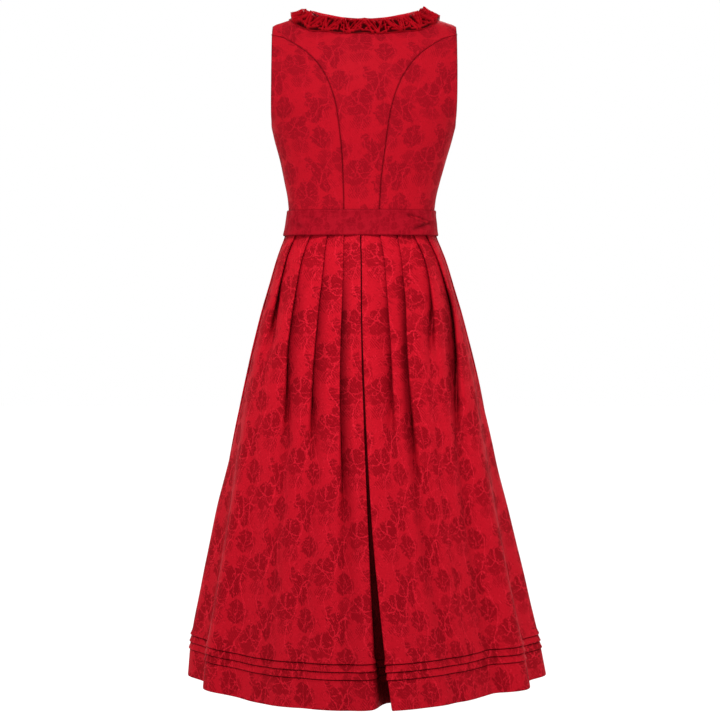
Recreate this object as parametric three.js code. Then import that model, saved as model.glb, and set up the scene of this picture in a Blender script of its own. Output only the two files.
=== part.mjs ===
// A sleeveless dirndl that stands as it is worn, with nobody in it.
//
// Millimetres. +Z is up, -Y is the wearer's front and +X the wearer's left. The origin lies between
// the shoulders, at the height of the middle of the two shoulder seams, where the straps hang.
//
// The bodice is cut in seven panels on a plain dress form: one back, two side backs, two side fronts and
// two fronts that button right over left. A ruched braid runs round the neck, a waistband covers the
// waist seam, and the skirt is laid in knife pleats that face an inverted pleat at the centre back.
// Three tucks run round it above the hem. The skirt is sewn from a back and a front width.

import * as THREE from "three";

// ---------------------------------------------------------------- driving sizes

const BODICE_CLOTH = 1.5; // interlined cloth
const SKIRT_CLOTH = 1.2;
const SEAM_GAP = 0.3; // between pieces that are sewn together

const WAIST_SEAM_Z = -356;
const BAND_TOP_Z = -333;
const BAND_BOTTOM_Z = -379;
const HEM_Z = -1152;

const FORM_SQUARENESS = 2.25; // superellipse power of the form's sections
const SHOULDER_TIP_X = 162;
const ARMHOLE_X = 163;
const NECK_SIDE_X = 95;
const BACK_ROUNDING = { depth: 190, power: 1.8 }; // how the back bends over into the shoulder
const FRONT_ROUNDING = { depth: 130, power: 1.8 };
const BUST = { x: 76, z: -228, spreadX: 44, spreadZ: 52, rise: 13 };

const OVERLAP = { over: 10, under: -8, rampFrom: -30, rampTo: -12 }; // right front over left, about x = 0
const BUTTONS = { topZ: -248, pitch: 22, radius: 6, rim: 1, height: 3.6, foot: 0.85, x: 1 };
const BUTTON_SEATS = [-0.15, 0.5, 0.35, 0.8]; // how far each stands off the lap's true curve, for its facets

const RUCHE = { inset: 4, width: 30, pitch: 34, steps: 4, edge: 1.8, base: 3, rise: 6.5, clearance: 1.2 };
const EDGE_SAMPLES = 600; // places tried along the neck edge for where it crosses the lap
const RUCHE_ENDS = { right: 8.5, left: 14 }; // where its two ends lie across the front lap

const SKIRT_RING_Z = [-356.15, -380.5, -410, -455, -540, -640, -745, -860, -985]; // above the tucks
const PLEAT_UNDERLAY = 25;
const UNDERLAY_LIMIT = 0.8; // of the panel it lies under
const CENTRE_LAYER_DEPTH = 0.85; // the centre pleat's middle layer, as a share of its depth
const LAYER_PITCH = SKIRT_CLOTH + 0.9; // middle of one layer to the next in a pressed pleat
const FOLD_DROP = 13; // how much deeper a pleat falls while it opens
const TUCK = { count: 3, bottomZ: -1103.5, pitch: 12.2, lift: 2, undercut: 0.5 };

const RED = 0xb5141f;
const DARK_RED = 0xa21522;

// The dress form: half the width, and the depth behind and before the side seams.
const FORM = [
  { z: -384, half: 139.5, back: 97, front: 104 },
  { z: -356, half: 133, back: 91, front: 101 },
  { z: -333, half: 129.5, back: 88.5, front: 100 },
  { z: -313, half: 131, back: 88.5, front: 104 },
  { z: -278, half: 138, back: 91, front: 113 },
  { z: -242, half: 147, back: 96, front: 121 },
  { z: -207, half: 157, back: 101, front: 123 },
  { z: -183, half: 163, back: 103, front: 121 },
  { z: -175, half: 165.5, back: 103.4, front: 120 },
  { z: -160, half: 174, back: 104, front: 117 },
  { z: -130, half: 184, back: 104, front: 112 },
  { z: -90, half: 190, back: 103, front: 105 },
  { z: -40, half: 190, back: 102, front: 98 },
  { z: 60, half: 190, back: 102, front: 95 },
];

// The line that the shoulders would follow, carried on to the middle of the neck.
const SHOULDER = [
  { x: 0, z: 50 },
  { x: 60, z: 36 },
  { x: 95, z: 21 },
  { x: 130, z: 7 },
  { x: 164, z: -4 },
];

// The back neck edge, from the centre to the shoulder seam.
const BACK_NECK = [
  { x: 0, z: -2 },
  { x: 30, z: -1 },
  { x: 50, z: 3 },
  { x: 70, z: 9 },
  { x: 85, z: 15.5 },
  { x: 95, z: 21 },
];

// The back princess seam, and where it reaches the armhole.
const BACK_SEAM = [
  { z: -355.85, x: 30 },
  { z: -333, x: 30.6 },
  { z: -300, x: 31.8 },
  { z: -265, x: 34 },
  { z: -231, x: 37.2 },
  { z: -205, x: 40 },
  { z: -183, x: 43 },
  { z: -175, x: 44.4 },
  { z: -160, x: 47 },
  { z: -140, x: 52 },
  { z: -105, x: 66 },
  { z: -72, x: 88.5 },
  { z: -46, x: 118 },
  { z: -31, x: 141 },
  { z: -23, x: ARMHOLE_X },
];

// The front: its princess seam or armhole edge, and across from it the centre edge or the neck edge.
const FRONT_ROWS = [
  { seamZ: -355.85, seamX: 44, innerZ: -355.85, innerX: 0 },
  { seamZ: -333, seamX: 46, innerZ: -333, innerX: 0 },
  { seamZ: -300, seamX: 55, innerZ: -300, innerX: 0 },
  { seamZ: -265, seamX: 67, innerZ: -267, innerX: 0 },
  { seamZ: -231, seamX: 77, innerZ: -237, innerX: 0 },
  { seamZ: -205, seamX: 84, innerZ: -214, innerX: 0 },
  { seamZ: -183, seamX: 93, innerZ: -196, innerX: 0 },
  { seamZ: -175, seamX: 97.4, innerZ: -195, innerX: 13 },
  { seamZ: -160, seamX: 107, innerZ: -190, innerX: 28 },
  { seamZ: -140, seamX: 124, innerZ: -176, innerX: 50 },
  { seamZ: -122, seamX: 145, innerZ: -150, innerX: 70 },
  { seamZ: -108, seamX: ARMHOLE_X, innerZ: -112, innerX: 82 },
  { seamZ: -80, seamX: ARMHOLE_X, innerZ: -72, innerX: 88 },
  { seamZ: -50, seamX: ARMHOLE_X, innerZ: -34, innerX: 92 },
  { seamZ: -25, seamX: ARMHOLE_X, innerZ: -4, innerX: 94.5 },
];
const FRONT_SEAM_ROWS = 12; // how many of those rows lie on the princess seam

// The skirt's outline, from side to side, and how its back and front hang against an oval there.
const SKIRT = [
  { z: -1152, half: 322 },
  { z: -1087, half: 312.4 },
  { z: -998, half: 293 },
  { z: -909, half: 273.5 },
  { z: -820, half: 253.3 },
  { z: -731, half: 233.6 },
  { z: -642, half: 212.3 },
  { z: -553, half: 190 },
  { z: -508, half: 178.3 },
  { z: -464, half: 165.3 },
  { z: -419, half: 152 },
  { z: -386, half: 139.5 },
  { z: -379, half: 136.6 },
  { z: -356, half: 132 },
];
const SKIRT_DEPTH = { waistHalf: 138, back: 96, front: 101, backGrowth: 1.05, frontGrowth: 1.0 };

// Where each pleat's edge lies, as a share of the way from the centre back to the centre front, between
// which heights it opens out, and how deep a valley it leaves below on the wearer's left and right.
const PLEATS = [
  { waist: 0.087, knee: 0.064, hem: 0.079, opensAt: -600, openBy: -900, left: 14, right: 6 },
  { waist: 0.174, knee: 0.147, hem: 0.155, opensAt: -560, openBy: -860, left: 9, right: 15 },
  { waist: 0.257, knee: 0.228, hem: 0.24, opensAt: -540, openBy: -860, left: 11, right: 7 },
  { waist: 0.345, knee: 0.31, hem: 0.32, opensAt: -450, openBy: -780, left: 7, right: 12 },
  { waist: 0.43, knee: 0.415, hem: 0.41, opensAt: -500, openBy: -800, left: 9, right: 9 },
  { waist: 0.515, knee: 0.505, hem: 0.5, opensAt: -560, openBy: -860, left: 7, right: 10 },
  { waist: 0.6, knee: 0.595, hem: 0.59, opensAt: -600, openBy: -880, left: 11, right: 8 },
  { waist: 0.685, knee: 0.68, hem: 0.675, opensAt: -550, openBy: -850, left: 8, right: 12 },
  { waist: 0.768, knee: 0.765, hem: 0.765, opensAt: -580, openBy: -880, left: 11, right: 8 },
  { waist: 0.85, knee: 0.85, hem: 0.85, opensAt: -600, openBy: -880, left: 8, right: 10 },
  { waist: 0.932, knee: 0.93, hem: 0.93, opensAt: -620, openBy: -900, left: 12, right: 12 },
];
const KNEE_Z = -848;
const VALLEY_AT_HEM = 0.3; // what is left there of a valley's depth
const SEAM_PLEAT = 3; // the back and front widths are joined under this pleat, counted from the centre back

// A pleat's four points where it lies pressed: how far under the next panel, as a share of the underlay;
// how many layers down; and how much of the opening fold's drop it takes. Then the same points once it
// has opened: a share of the panel before its edge (negative) or after it, and of its valley's depth.
const PLEAT_POINTS = [
  { under: 1, layer: 2, drop: 1.25, opened: -0.3, valley: 0.6 },
  { under: 1, layer: 1, drop: 0.75, opened: -0.17, valley: 1 },
  { under: 0, layer: 1, drop: 0.3, opened: -0.07, valley: 0.8 },
  { under: 0, layer: 0, drop: 0, opened: 0.05, valley: 0.1 },
];
// Two points along each panel, as shares of it, with the layers and the drop they take from the next pleat.
const PANEL_POINTS = [
  { pressed: 0.45, opened: 0.35, layer: 0.9, drop: 0 },
  { pressed: 0.9, opened: 0.6, layer: 1.8, drop: 0.35 },
];

// The skirt's large folds at the hem, against the oval: share of the way round, and how far in.
const HEM_FOLDS = [
  { share: -0.03, out: 0 },
  { share: 0.03, out: 2 },
  { share: 0.1, out: -6 },
  { share: 0.16, out: -18 },
  { share: 0.21, out: -27 },
  { share: 0.27, out: -33 },
  { share: 0.345, out: -5 },
  { share: 0.405, out: -27 },
  { share: 0.475, out: 0 },
  { share: 0.55, out: -22 },
  { share: 0.62, out: -6 },
  { share: 0.7, out: -24 },
  { share: 0.79, out: -8 },
  { share: 0.87, out: -20 },
  { share: 0.945, out: -4 },
  { share: 1, out: 2 },
];
const FOLDS_FROM_Z = -560; // above this the large folds have died away

// The inverted pleat at the centre back wanders to the wearer's right on its way down. Its two edges lie
// a gap apart, its back layer lies deeper and deeper, and its left edge rolls inward.
const CENTRE_PLEAT = [
  { z: -1152, drift: 38, gap: 1.5, depth: 52, edge: 7, roll: 1 },
  { z: -1000, drift: 24, gap: 1.5, depth: 32, edge: 5, roll: 0.45 },
  { z: -848, drift: 12, gap: 1.5, depth: 17, edge: 3.5, roll: 0.1 },
  { z: -670, drift: 4, gap: 1.4, depth: 7.5, edge: 2.4, roll: 0 },
  { z: -491, drift: 0, gap: 1.2, depth: 4.4, edge: 2.1, roll: 0 },
  { z: -356, drift: 0, gap: 1.2, depth: 4.2, edge: 2.1, roll: 0 },
];
// The rolled left edge: how far each point lies from the gap, and how much of the depth it has.
const ROLLED_EDGE = [
  { from: 3, depth: 0.95 },
  { from: 9, depth: 0.8 },
  { from: 15, depth: 0.5 },
  { from: 22, depth: 0.24 },
];
const ROLLED_PANEL = [0.1, 0.03]; // how much of the depth the panel after it has
const DRIFT_REACH = 0.3; // share of the way round over which the drift dies away

// The dress hangs a little out of true: how far its middle lies to the wearer's left.
const LEAN = [
  { z: -1152, x: -9 },
  { z: -1087, x: -6 },
  { z: -998, x: -4 },
  { z: -909, x: -2.5 },
  { z: -731, x: -1 },
  { z: -600, x: 0 },
  { z: -430, x: 0.5 },
  { z: -375, x: 1.5 },
  { z: -333, x: 0 },
  { z: -285, x: -1 },
  { z: -240, x: -2.7 },
  { z: -180, x: -3.6 },
  { z: -100, x: -4.8 },
  { z: 30, x: -5 },
];

// ---------------------------------------------------------------- small tools

const lerp = (a, b, t) => a + (b - a) * t;
const clamp = (v, low, high) => Math.min(high, Math.max(low, v));
const smooth = (t) => t * t * (3 - 2 * t);
const ramp = (from, to, v) => smooth(clamp((v - from) / (to - from), 0, 1));

// Reads a table's column at a place along its axis column, on a curve that never overshoots its rows.
function follow(table, axis, column, at) {
  const rising = table[0][axis] < table[table.length - 1][axis];
  const rows = rising ? table : [...table].reverse();
  const last = rows.length - 1;
  if (at <= rows[0][axis]) return rows[0][column];
  if (at >= rows[last][axis]) return rows[last][column];
  const i = rows.findIndex((row) => row[axis] > at) - 1;
  const width = (k) => rows[k + 1][axis] - rows[k][axis];
  const slope = (k) => (rows[k + 1][column] - rows[k][column]) / width(k);
  const tangent = (k) => {
    if (k === 0) return slope(0);
    if (k === last) return slope(last - 1);
    const before = slope(k - 1);
    const after = slope(k);
    return before * after <= 0 ? 0 : (2 * before * after) / (before + after);
  };
  const w = width(i);
  const t = (at - rows[i][axis]) / w;
  const [t2, t3] = [t * t, t * t * t];
  return (
    (2 * t3 - 3 * t2 + 1) * rows[i][column] +
    (t3 - 2 * t2 + t) * w * tangent(i) +
    (3 * t2 - 2 * t3) * rows[i + 1][column] +
    (t3 - t2) * w * tangent(i + 1)
  );
}

function signedVolume(points, triangles) {
  const [a, b, c] = [new THREE.Vector3(), new THREE.Vector3(), new THREE.Vector3()];
  let sum = 0;
  for (const [i, j, k] of triangles) {
    a.copy(points[i]);
    b.copy(points[j]);
    c.copy(points[k]);
    sum += a.dot(b.cross(c)) / 6;
  }
  return sum;
}

const leaning = (p) => new THREE.Vector3(p.x + follow(LEAN, "z", "x", p.z), p.y, p.z);

function geometryOf(points, triangles) {
  const flip = signedVolume(points, triangles) < 0;
  const index = triangles.flatMap(([i, j, k]) => (flip ? [i, k, j] : [i, j, k]));
  const geometry = new THREE.BufferGeometry().setFromPoints(points.map(leaning));
  geometry.setIndex(index);
  geometry.computeVertexNormals();
  return geometry;
}

// Closes two grids of the same shape, an outer and an inner face, into one wall. Each cell of the grids
// is split along the outer face's shorter diagonal, on both faces alike.
function wallBetween(outer, inner) {
  const [rows, columns] = [outer.length, outer[0].length];
  const points = [...outer.flat(), ...inner.flat()];
  const id = (face, r, c) => face * rows * columns + r * columns + c;
  const triangles = [];
  const quad = (a, b, c, d) => triangles.push([a, b, c], [a, c, d]);
  for (let r = 0; r < rows - 1; r++) {
    for (let c = 0; c < columns - 1; c++) {
      const corners = [[r, c], [r, c + 1], [r + 1, c + 1], [r + 1, c]];
      const cell = (face) => corners.map(([i, j]) => id(face, i, j));
      const [a, b, d, e] = cell(0);
      const [k, l, m, n] = cell(1);
      if (points[a].distanceTo(points[d]) <= points[b].distanceTo(points[e])) {
        quad(a, b, d, e);
        quad(m, l, k, n);
      } else {
        quad(b, d, e, a);
        quad(n, m, l, k);
      }
    }
    quad(id(0, r, 0), id(0, r + 1, 0), id(1, r + 1, 0), id(1, r, 0));
    const end = columns - 1;
    quad(id(0, r, end), id(1, r, end), id(1, r + 1, end), id(0, r + 1, end));
  }
  for (let c = 0; c < columns - 1; c++) {
    quad(id(0, 0, c), id(1, 0, c), id(1, 0, c + 1), id(0, 0, c + 1));
    const end = rows - 1;
    quad(id(0, end, c), id(0, end, c + 1), id(1, end, c + 1), id(1, end, c));
  }
  return geometryOf(points, triangles);
}

// Closes a tube of cross sections, each a closed loop of points, with a flat end at each end.
function tubeOf(sections) {
  const around = sections[0].length;
  const points = sections.flat();
  const triangles = [];
  const last = sections.length - 1;
  for (let s = 0; s < last; s++) {
    for (let c = 0; c < around; c++) {
      const next = (c + 1) % around;
      const [a, b] = [s * around + c, s * around + next];
      triangles.push([a, b, b + around], [a, b + around, a + around]);
    }
  }
  for (let c = 1; c < around - 1; c++) {
    triangles.push([0, c + 1, c]);
    triangles.push([last * around, last * around + c, last * around + c + 1]);
  }
  return geometryOf(points, triangles);
}

// ---------------------------------------------------------------- the dress form

const BACK = 1;
const FRONT = -1;
const formRow = (z) => ({
  half: follow(FORM, "z", "half", z),
  back: follow(FORM, "z", "back", z),
  front: follow(FORM, "z", "front", z),
});
const ridgeZ = (x) => follow(SHOULDER, "x", "z", Math.abs(x));

// 0 on the shoulder line, 1 where the back or front hangs free of it.
function rounding(x, z, side) {
  const { depth, power } = side === BACK ? BACK_ROUNDING : FRONT_ROUNDING;
  const above = 1 - clamp((ridgeZ(x) - z) / depth, 0, 1);
  return (1 - above ** power) ** (1 / power);
}

function bustRise(x, z) {
  const across = (Math.abs(x) - BUST.x) / BUST.spreadX;
  const up = (z - BUST.z) / BUST.spreadZ;
  return BUST.rise * Math.exp(-(across ** 2) - up ** 2);
}

// The form's surface behind or before a point of the frontal plane.
function onForm(x, z, side) {
  const row = formRow(z);
  const inward = 1 - clamp(Math.abs(x) / row.half, 0, 1) ** FORM_SQUARENESS;
  const bulge = inward ** (1 / FORM_SQUARENESS);
  const depth = side === BACK ? row.back : row.front + bustRise(x, z);
  return new THREE.Vector3(x, side * depth * bulge * rounding(x, z, side), z);
}

// The form's surface at a turn about the upright axis: 0 at the middle, a quarter turn at the side seam.
function roundForm(turn, z, side) {
  const row = formRow(z);
  const power = 2 / FORM_SQUARENESS;
  const x = row.half * Math.sign(turn) * Math.abs(Math.sin(turn)) ** power;
  const depth = side === BACK ? row.back : row.front + bustRise(x, z);
  const y = side * depth * Math.max(0, Math.cos(turn)) ** power * rounding(x, z, side);
  return new THREE.Vector3(x, y, z);
}

const turnAt = (x, z) =>
  Math.sign(x) * Math.asin(clamp(Math.abs(x) / formRow(z).half, 0, 1) ** (FORM_SQUARENESS / 2));

// A profile runs down the form from the shoulder line at one x. It is measured along the cloth.
const PROFILE_STEPS = 48;
const PROFILE_DROP = 420;
const PROFILE_CROWDING = 2.4; // how much closer its steps lie over the shoulder
const profiles = new Map();
function profile(x, side) {
  const key = `${x.toFixed(4)} ${side}`;
  if (!profiles.has(key)) {
    const top = ridgeZ(x);
    const shares = Array.from({ length: PROFILE_STEPS + 1 }, (_, i) => i / PROFILE_STEPS);
    const drops = shares.map((share) => PROFILE_DROP * share ** PROFILE_CROWDING);
    const points = drops.map((drop) => onForm(x, top - drop, side));
    const lengths = [0];
    for (let i = 1; i < points.length; i++) {
      lengths.push(lengths[i - 1] + points[i].distanceTo(points[i - 1]));
    }
    profiles.set(key, { top, drops, lengths });
  }
  return profiles.get(key);
}

function between(from, to, at) {
  let i = 1;
  while (i < from.length - 1 && from[i] < at) i++;
  return lerp(to[i - 1], to[i], clamp((at - from[i - 1]) / (from[i] - from[i - 1]), 0, 1));
}

// A point at a length of cloth below the shoulder line. Below 0 it is carried over to the other side.
function downForm(x, length, side) {
  if (length < 0) return downForm(x, -length, -side);
  const { top, drops, lengths } = profile(x, side);
  return onForm(x, top - between(lengths, drops, length), side);
}

function clothLength(x, z, side) {
  const { top, drops, lengths } = profile(x, side);
  return between(drops, lengths, top - z);
}

const NORMAL_STEP = 1.5;
const TURN_STEP = 0.01;
function normalDown(x, length, side) {
  const along = downForm(x, length + NORMAL_STEP, side).sub(downForm(x, length - NORMAL_STEP, side));
  const across = downForm(x + NORMAL_STEP, length, side).sub(downForm(x - NORMAL_STEP, length, side));
  return across.cross(along).normalize().multiplyScalar(side);
}

function normalRound(turn, z, side) {
  const round = roundForm(turn + TURN_STEP, z, side).sub(roundForm(turn - TURN_STEP, z, side));
  const up = roundForm(turn, z + NORMAL_STEP, side).sub(roundForm(turn, z - NORMAL_STEP, side));
  return round.cross(up).normalize().multiplyScalar(-side);
}

const moved = (point, normal, out) => point.clone().addScaledVector(normal, out);

// ---------------------------------------------------------------- bodice panels

// A panel from rows of places on the form; each place gives its point, its normal and how far out it lies.
function panel(rows) {
  const outer = rows.map((row) => row.map(({ point, normal, out = 0 }) => moved(point, normal, out)));
  const inner = rows.map((row) =>
    row.map(({ point, normal, out = 0 }) => moved(point, normal, out - BODICE_CLOTH)),
  );
  return wallBetween(outer, inner);
}

const placeDown = (x, length, side, out = 0) => ({
  point: downForm(x, length, side),
  normal: normalDown(x, length, side),
  out,
});
const placeRound = (turn, z, side) => ({
  point: roundForm(turn, z, side),
  normal: normalRound(turn, z, side),
});
const HALF_GAP = SEAM_GAP / 2;
const NEAR = 0.01;
const RUN_OUT = 0.92; // how far a side panel follows its seam's last stretch into the armhole
const TOP_STRIP_STEPS = [0, 0.3, 0.55, 0.78, 1]; // rows from the last seam row up to the top edge

function backPanel() {
  const shares = [0, 0.2, 0.4, NECK_SIDE_X / SHOULDER_TIP_X, 0.73, 0.87, 1];
  const across = [...shares.slice(1).reverse().map((share) => -share), ...shares];
  const rows = BACK_SEAM.map(({ z, x }) =>
    across.map((share) => {
      const at = share * (x - HALF_GAP);
      return placeDown(at, clothLength(at, z, BACK), BACK);
    }),
  );
  const lastSeam = BACK_SEAM[BACK_SEAM.length - 1];
  for (const step of TOP_STRIP_STEPS.slice(1)) {
    rows.push(
      across.map((share) => {
        const at = share * lerp(lastSeam.x - HALF_GAP, SHOULDER_TIP_X, step);
        const low = clothLength(at, lastSeam.z, BACK);
        const neck = Math.abs(at) < NECK_SIDE_X - NEAR;
        const top = neck ? clothLength(at, follow(BACK_NECK, "x", "z", Math.abs(at)), BACK) : HALF_GAP;
        return placeDown(at, lerp(low, Math.max(top, HALF_GAP), step), BACK);
      }),
    );
  }
  return panel(rows);
}

// A side panel, from its princess seam round to the side seam or, above it, the armhole edge.
function sidePanel(seam, side, hand, columns) {
  const rows = seam.map(({ z, x }) => {
    const inner = turnAt(x + HALF_GAP, z);
    const half = formRow(z).half;
    const outer = half <= ARMHOLE_X + NEAR ? Math.PI / 2 - HALF_GAP / half : turnAt(ARMHOLE_X, z);
    return Array.from({ length: columns + 1 }, (_, c) =>
      placeRound(hand * lerp(inner, outer, c / columns), z, side),
    );
  });
  return panel(rows);
}

// The row where a seam runs out into the armhole, just short of a point.
const runOut = (before, end) => ({
  z: lerp(before.z, end.z, RUN_OUT),
  x: lerp(before.x, end.x, RUN_OUT),
});

const backSideSeam = [
  ...BACK_SEAM.slice(0, -1),
  runOut(BACK_SEAM[BACK_SEAM.length - 2], BACK_SEAM[BACK_SEAM.length - 1]),
];
const frontSeam = FRONT_ROWS.slice(0, FRONT_SEAM_ROWS).map((row) => ({ z: row.seamZ, x: row.seamX }));
const frontSideSeam = [
  ...frontSeam.slice(0, -1),
  runOut(frontSeam[FRONT_SEAM_ROWS - 2], frontSeam[FRONT_SEAM_ROWS - 1]),
];

const OVER_LIFT = BODICE_CLOTH + 0.5;
const overlapLift = (x) => OVER_LIFT * ramp(OVERLAP.rampFrom, OVERLAP.rampTo, x);

// A front, to hand 1 on the wearer's left or -1 on the right. The right one laps over the left.
function frontPanel(hand) {
  const lap = hand === 1 ? OVERLAP.under : -OVERLAP.over;
  const columns = 6;
  const placed = (x, z, fromTop = null) => {
    const length = fromTop ?? clothLength(x, z, FRONT);
    return placeDown(x, length, FRONT, hand === 1 ? 0 : overlapLift(x));
  };
  const ends = (row) => ({
    inner: row.innerX === 0 ? lap : row.innerX,
    outer: row.seamX === ARMHOLE_X ? ARMHOLE_X : row.seamX - HALF_GAP,
  });
  const rows = FRONT_ROWS.map((row) => {
    const { inner, outer } = ends(row);
    return Array.from({ length: columns + 1 }, (_, c) => {
      const x = hand * lerp(inner, outer, c / columns);
      return placed(x, lerp(row.innerZ, row.seamZ, c / columns));
    });
  });
  const top = FRONT_ROWS[FRONT_ROWS.length - 1];
  for (const step of TOP_STRIP_STEPS.slice(1)) {
    rows.push(
      Array.from({ length: columns + 1 }, (_, c) => {
        const share = c / columns;
        const inner = lerp(top.innerX, NECK_SIDE_X, step);
        const outer = lerp(top.seamX, SHOULDER_TIP_X, step);
        const x = hand * lerp(inner, outer, share);
        const low = clothLength(x, lerp(top.innerZ, top.seamZ, share), FRONT);
        return placed(x, 0, lerp(low, HALF_GAP, step));
      }),
    );
  }
  return panel(rows);
}

// ---------------------------------------------------------------- waistband

const BAND = { topOut: 3.2, bottomOut: 1.2, steps: 50, liftFrom: 0.9 * Math.PI, liftBy: 0.96 * Math.PI };

function waistband() {
  const heights = [BAND_TOP_Z, BAND_BOTTOM_Z];
  const half = formRow(BAND_TOP_Z).half;
  const endTurn = Math.asin(OVERLAP.over / half);
  const round = Array.from({ length: BAND.steps + 1 }, (_, i) =>
    lerp(-Math.PI - endTurn + SEAM_GAP / half, Math.PI - endTurn, i / BAND.steps),
  );
  const face = (depth) =>
    heights.map((z) =>
      round.map((turn) => {
        const row = formRow(z);
        const out = lerp(BAND.topOut, BAND.bottomOut, (BAND_TOP_Z - z) / (BAND_TOP_Z - BAND_BOTTOM_Z));
        const grown = OVER_LIFT * ramp(BAND.liftFrom, BAND.liftBy, Math.abs(turn)) + out - depth;
        const behind = Math.cos(turn) > 0 ? row.back : row.front + bustRise(0, z);
        const power = 2 / FORM_SQUARENESS;
        const [s, c] = [Math.sin(turn), Math.cos(turn)];
        const x = (row.half + grown) * Math.sign(s) * Math.abs(s) ** power;
        const y = (behind + grown) * Math.sign(c) * Math.abs(c) ** power;
        return new THREE.Vector3(x, y, z);
      }),
    );
  return wallBetween(face(0), face(BODICE_CLOTH));
}

// ---------------------------------------------------------------- neck ruche

// The neck edge in the flat of the form: x across, and v the length of cloth behind the shoulder line.
function neckEdge() {
  const edge = [];
  for (const row of BACK_NECK) edge.push({ x: row.x, v: clothLength(row.x, row.z, BACK) });
  edge[edge.length - 1].v = 0;
  for (const row of [...FRONT_ROWS].reverse()) {
    if (row.innerX > 0) edge.push({ x: row.innerX, v: -clothLength(row.innerX, row.innerZ, FRONT) });
  }
  const bottom = [...FRONT_ROWS].reverse().find((row) => row.innerX === 0);
  edge.push({ x: 0, v: -clothLength(0, bottom.innerZ, FRONT) });
  const left = edge.map(({ x, v }) => new THREE.Vector3(x, v, 0));
  const right = left.slice(1, -1).reverse().map((p) => new THREE.Vector3(-p.x, p.y, 0));
  return new THREE.CatmullRomCurve3([...left, ...right], true, "centripetal");
}

function ruchePoint(flat, out, onRight) {
  const side = flat.y >= 0 ? BACK : FRONT;
  const length = Math.abs(flat.y);
  const lap = side === FRONT && onRight ? overlapLift(flat.x) : 0;
  return moved(downForm(flat.x, length, side), normalDown(flat.x, length, side), out + lap);
}

// The share of the neck edge, counted from the centre back round by the left, where it crosses x in front.
function crossing(edge, x) {
  const places = edge.getSpacedPoints(EDGE_SAMPLES);
  return places.findIndex((p) => p.y < 0 && p.x < x) / EDGE_SAMPLES;
}

function neckRuche() {
  const edge = neckEdge();
  const length = edge.getLength();
  const repeats = Math.round(length / RUCHE.pitch);
  const count = repeats * RUCHE.steps;
  const [start, end] = [crossing(edge, RUCHE_ENDS.right), crossing(edge, RUCHE_ENDS.left) + 1];
  const insideNeck = edge.getPointAt(0).lerp(edge.getPointAt(0.5), 0.5);
  const sections = [];
  for (let i = 0; i <= count; i++) {
    const share = lerp(start, end, i / count);
    const at = edge.getPointAt(share % 1);
    const ahead = edge.getTangentAt(share % 1);
    const away = new THREE.Vector3(ahead.y, -ahead.x, 0).normalize();
    if (away.dot(at.clone().sub(insideNeck)) < 0) away.negate();
    const phase = (2 * Math.PI * i) / RUCHE.steps;
    const swell = 0.5 + 0.5 * Math.cos(phase);
    const across = [
      { w: 0, out: RUCHE.edge },
      { w: 0.22, out: RUCHE.base + RUCHE.rise * swell },
      { w: 0.5, out: RUCHE.base + RUCHE.rise * (0.25 + 0.6 * Math.abs(Math.sin(phase))) },
      { w: 0.78, out: RUCHE.base + RUCHE.rise * (1 - swell) },
      { w: 1, out: RUCHE.edge },
      { w: 1, out: 0 },
      { w: 0.5, out: 0 },
      { w: 0, out: 0 },
    ];
    sections.push(
      across.map(({ w, out }) => {
        const flat = at.clone().addScaledVector(away, RUCHE.inset + w * RUCHE.width);
        return ruchePoint(flat, RUCHE.clearance + out, i < count / 2);
      }),
    );
  }
  return tubeOf(sections);
}

// ---------------------------------------------------------------- buttons

const DOME_STEPS = 3;
const BUTTON_SIDES = 14;

function buttonGeometry() {
  const { radius, rim, height } = BUTTONS;
  const dome = Array.from({ length: DOME_STEPS }, (_, i) => {
    const turn = (i / DOME_STEPS) * (Math.PI / 2);
    return new THREE.Vector2(radius * Math.cos(turn), rim + (height - rim) * Math.sin(turn));
  });
  const foot = new THREE.Vector2(radius * BUTTONS.foot, 0);
  const outline = [new THREE.Vector2(0, 0), foot, ...dome, new THREE.Vector2(0, height)];
  return new THREE.LatheGeometry(outline, BUTTON_SIDES);
}

// ---------------------------------------------------------------- skirt

// The oval that the skirt hangs on at one height, measured along its rim from the centre back.
const OVAL_STEPS = 240;
const ovals = new Map();
function oval(z) {
  if (!ovals.has(z)) {
    const half = follow(SKIRT, "z", "half", z);
    const back = SKIRT_DEPTH.back + (half - SKIRT_DEPTH.waistHalf) * SKIRT_DEPTH.backGrowth;
    const front = SKIRT_DEPTH.front + (half - SKIRT_DEPTH.waistHalf) * SKIRT_DEPTH.frontGrowth;
    const turns = Array.from({ length: OVAL_STEPS + 1 }, (_, i) => (Math.PI * i) / OVAL_STEPS);
    const at = (turn) => {
      const c = Math.cos(turn);
      return new THREE.Vector2(half * Math.sin(turn), (c > 0 ? back : front) * c);
    };
    const lengths = [0];
    for (let i = 1; i <= OVAL_STEPS; i++) {
      lengths.push(lengths[i - 1] + at(turns[i]).distanceTo(at(turns[i - 1])));
    }
    ovals.set(z, { half, back, front, turns, lengths, at, rim: lengths[OVAL_STEPS] });
  }
  return ovals.get(z);
}

// A point at a length s along the rim, on the wearer's left if s is positive, and n out from it.
function onOval(z, s, n) {
  const ring = oval(z);
  let [hand, length] = [Math.sign(s) || 1, Math.abs(s)];
  if (length > ring.rim) [hand, length] = [-hand, 2 * ring.rim - length];
  const turn = between(ring.lengths, ring.turns, length);
  const point = ring.at(turn);
  const depth = Math.cos(turn) > 0 ? ring.back : ring.front;
  const normal = new THREE.Vector2(Math.sin(turn) / ring.half, Math.cos(turn) / depth).normalize();
  point.addScaledVector(normal, n);
  return new THREE.Vector2(hand * point.x, point.y);
}

function pleatShare(pleat, z) {
  const table = [
    { z: HEM_Z, share: pleat.hem },
    { z: KNEE_Z, share: pleat.knee },
    { z: WAIST_SEAM_Z, share: pleat.waist },
  ];
  return follow(table, "z", "share", z);
}

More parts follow.
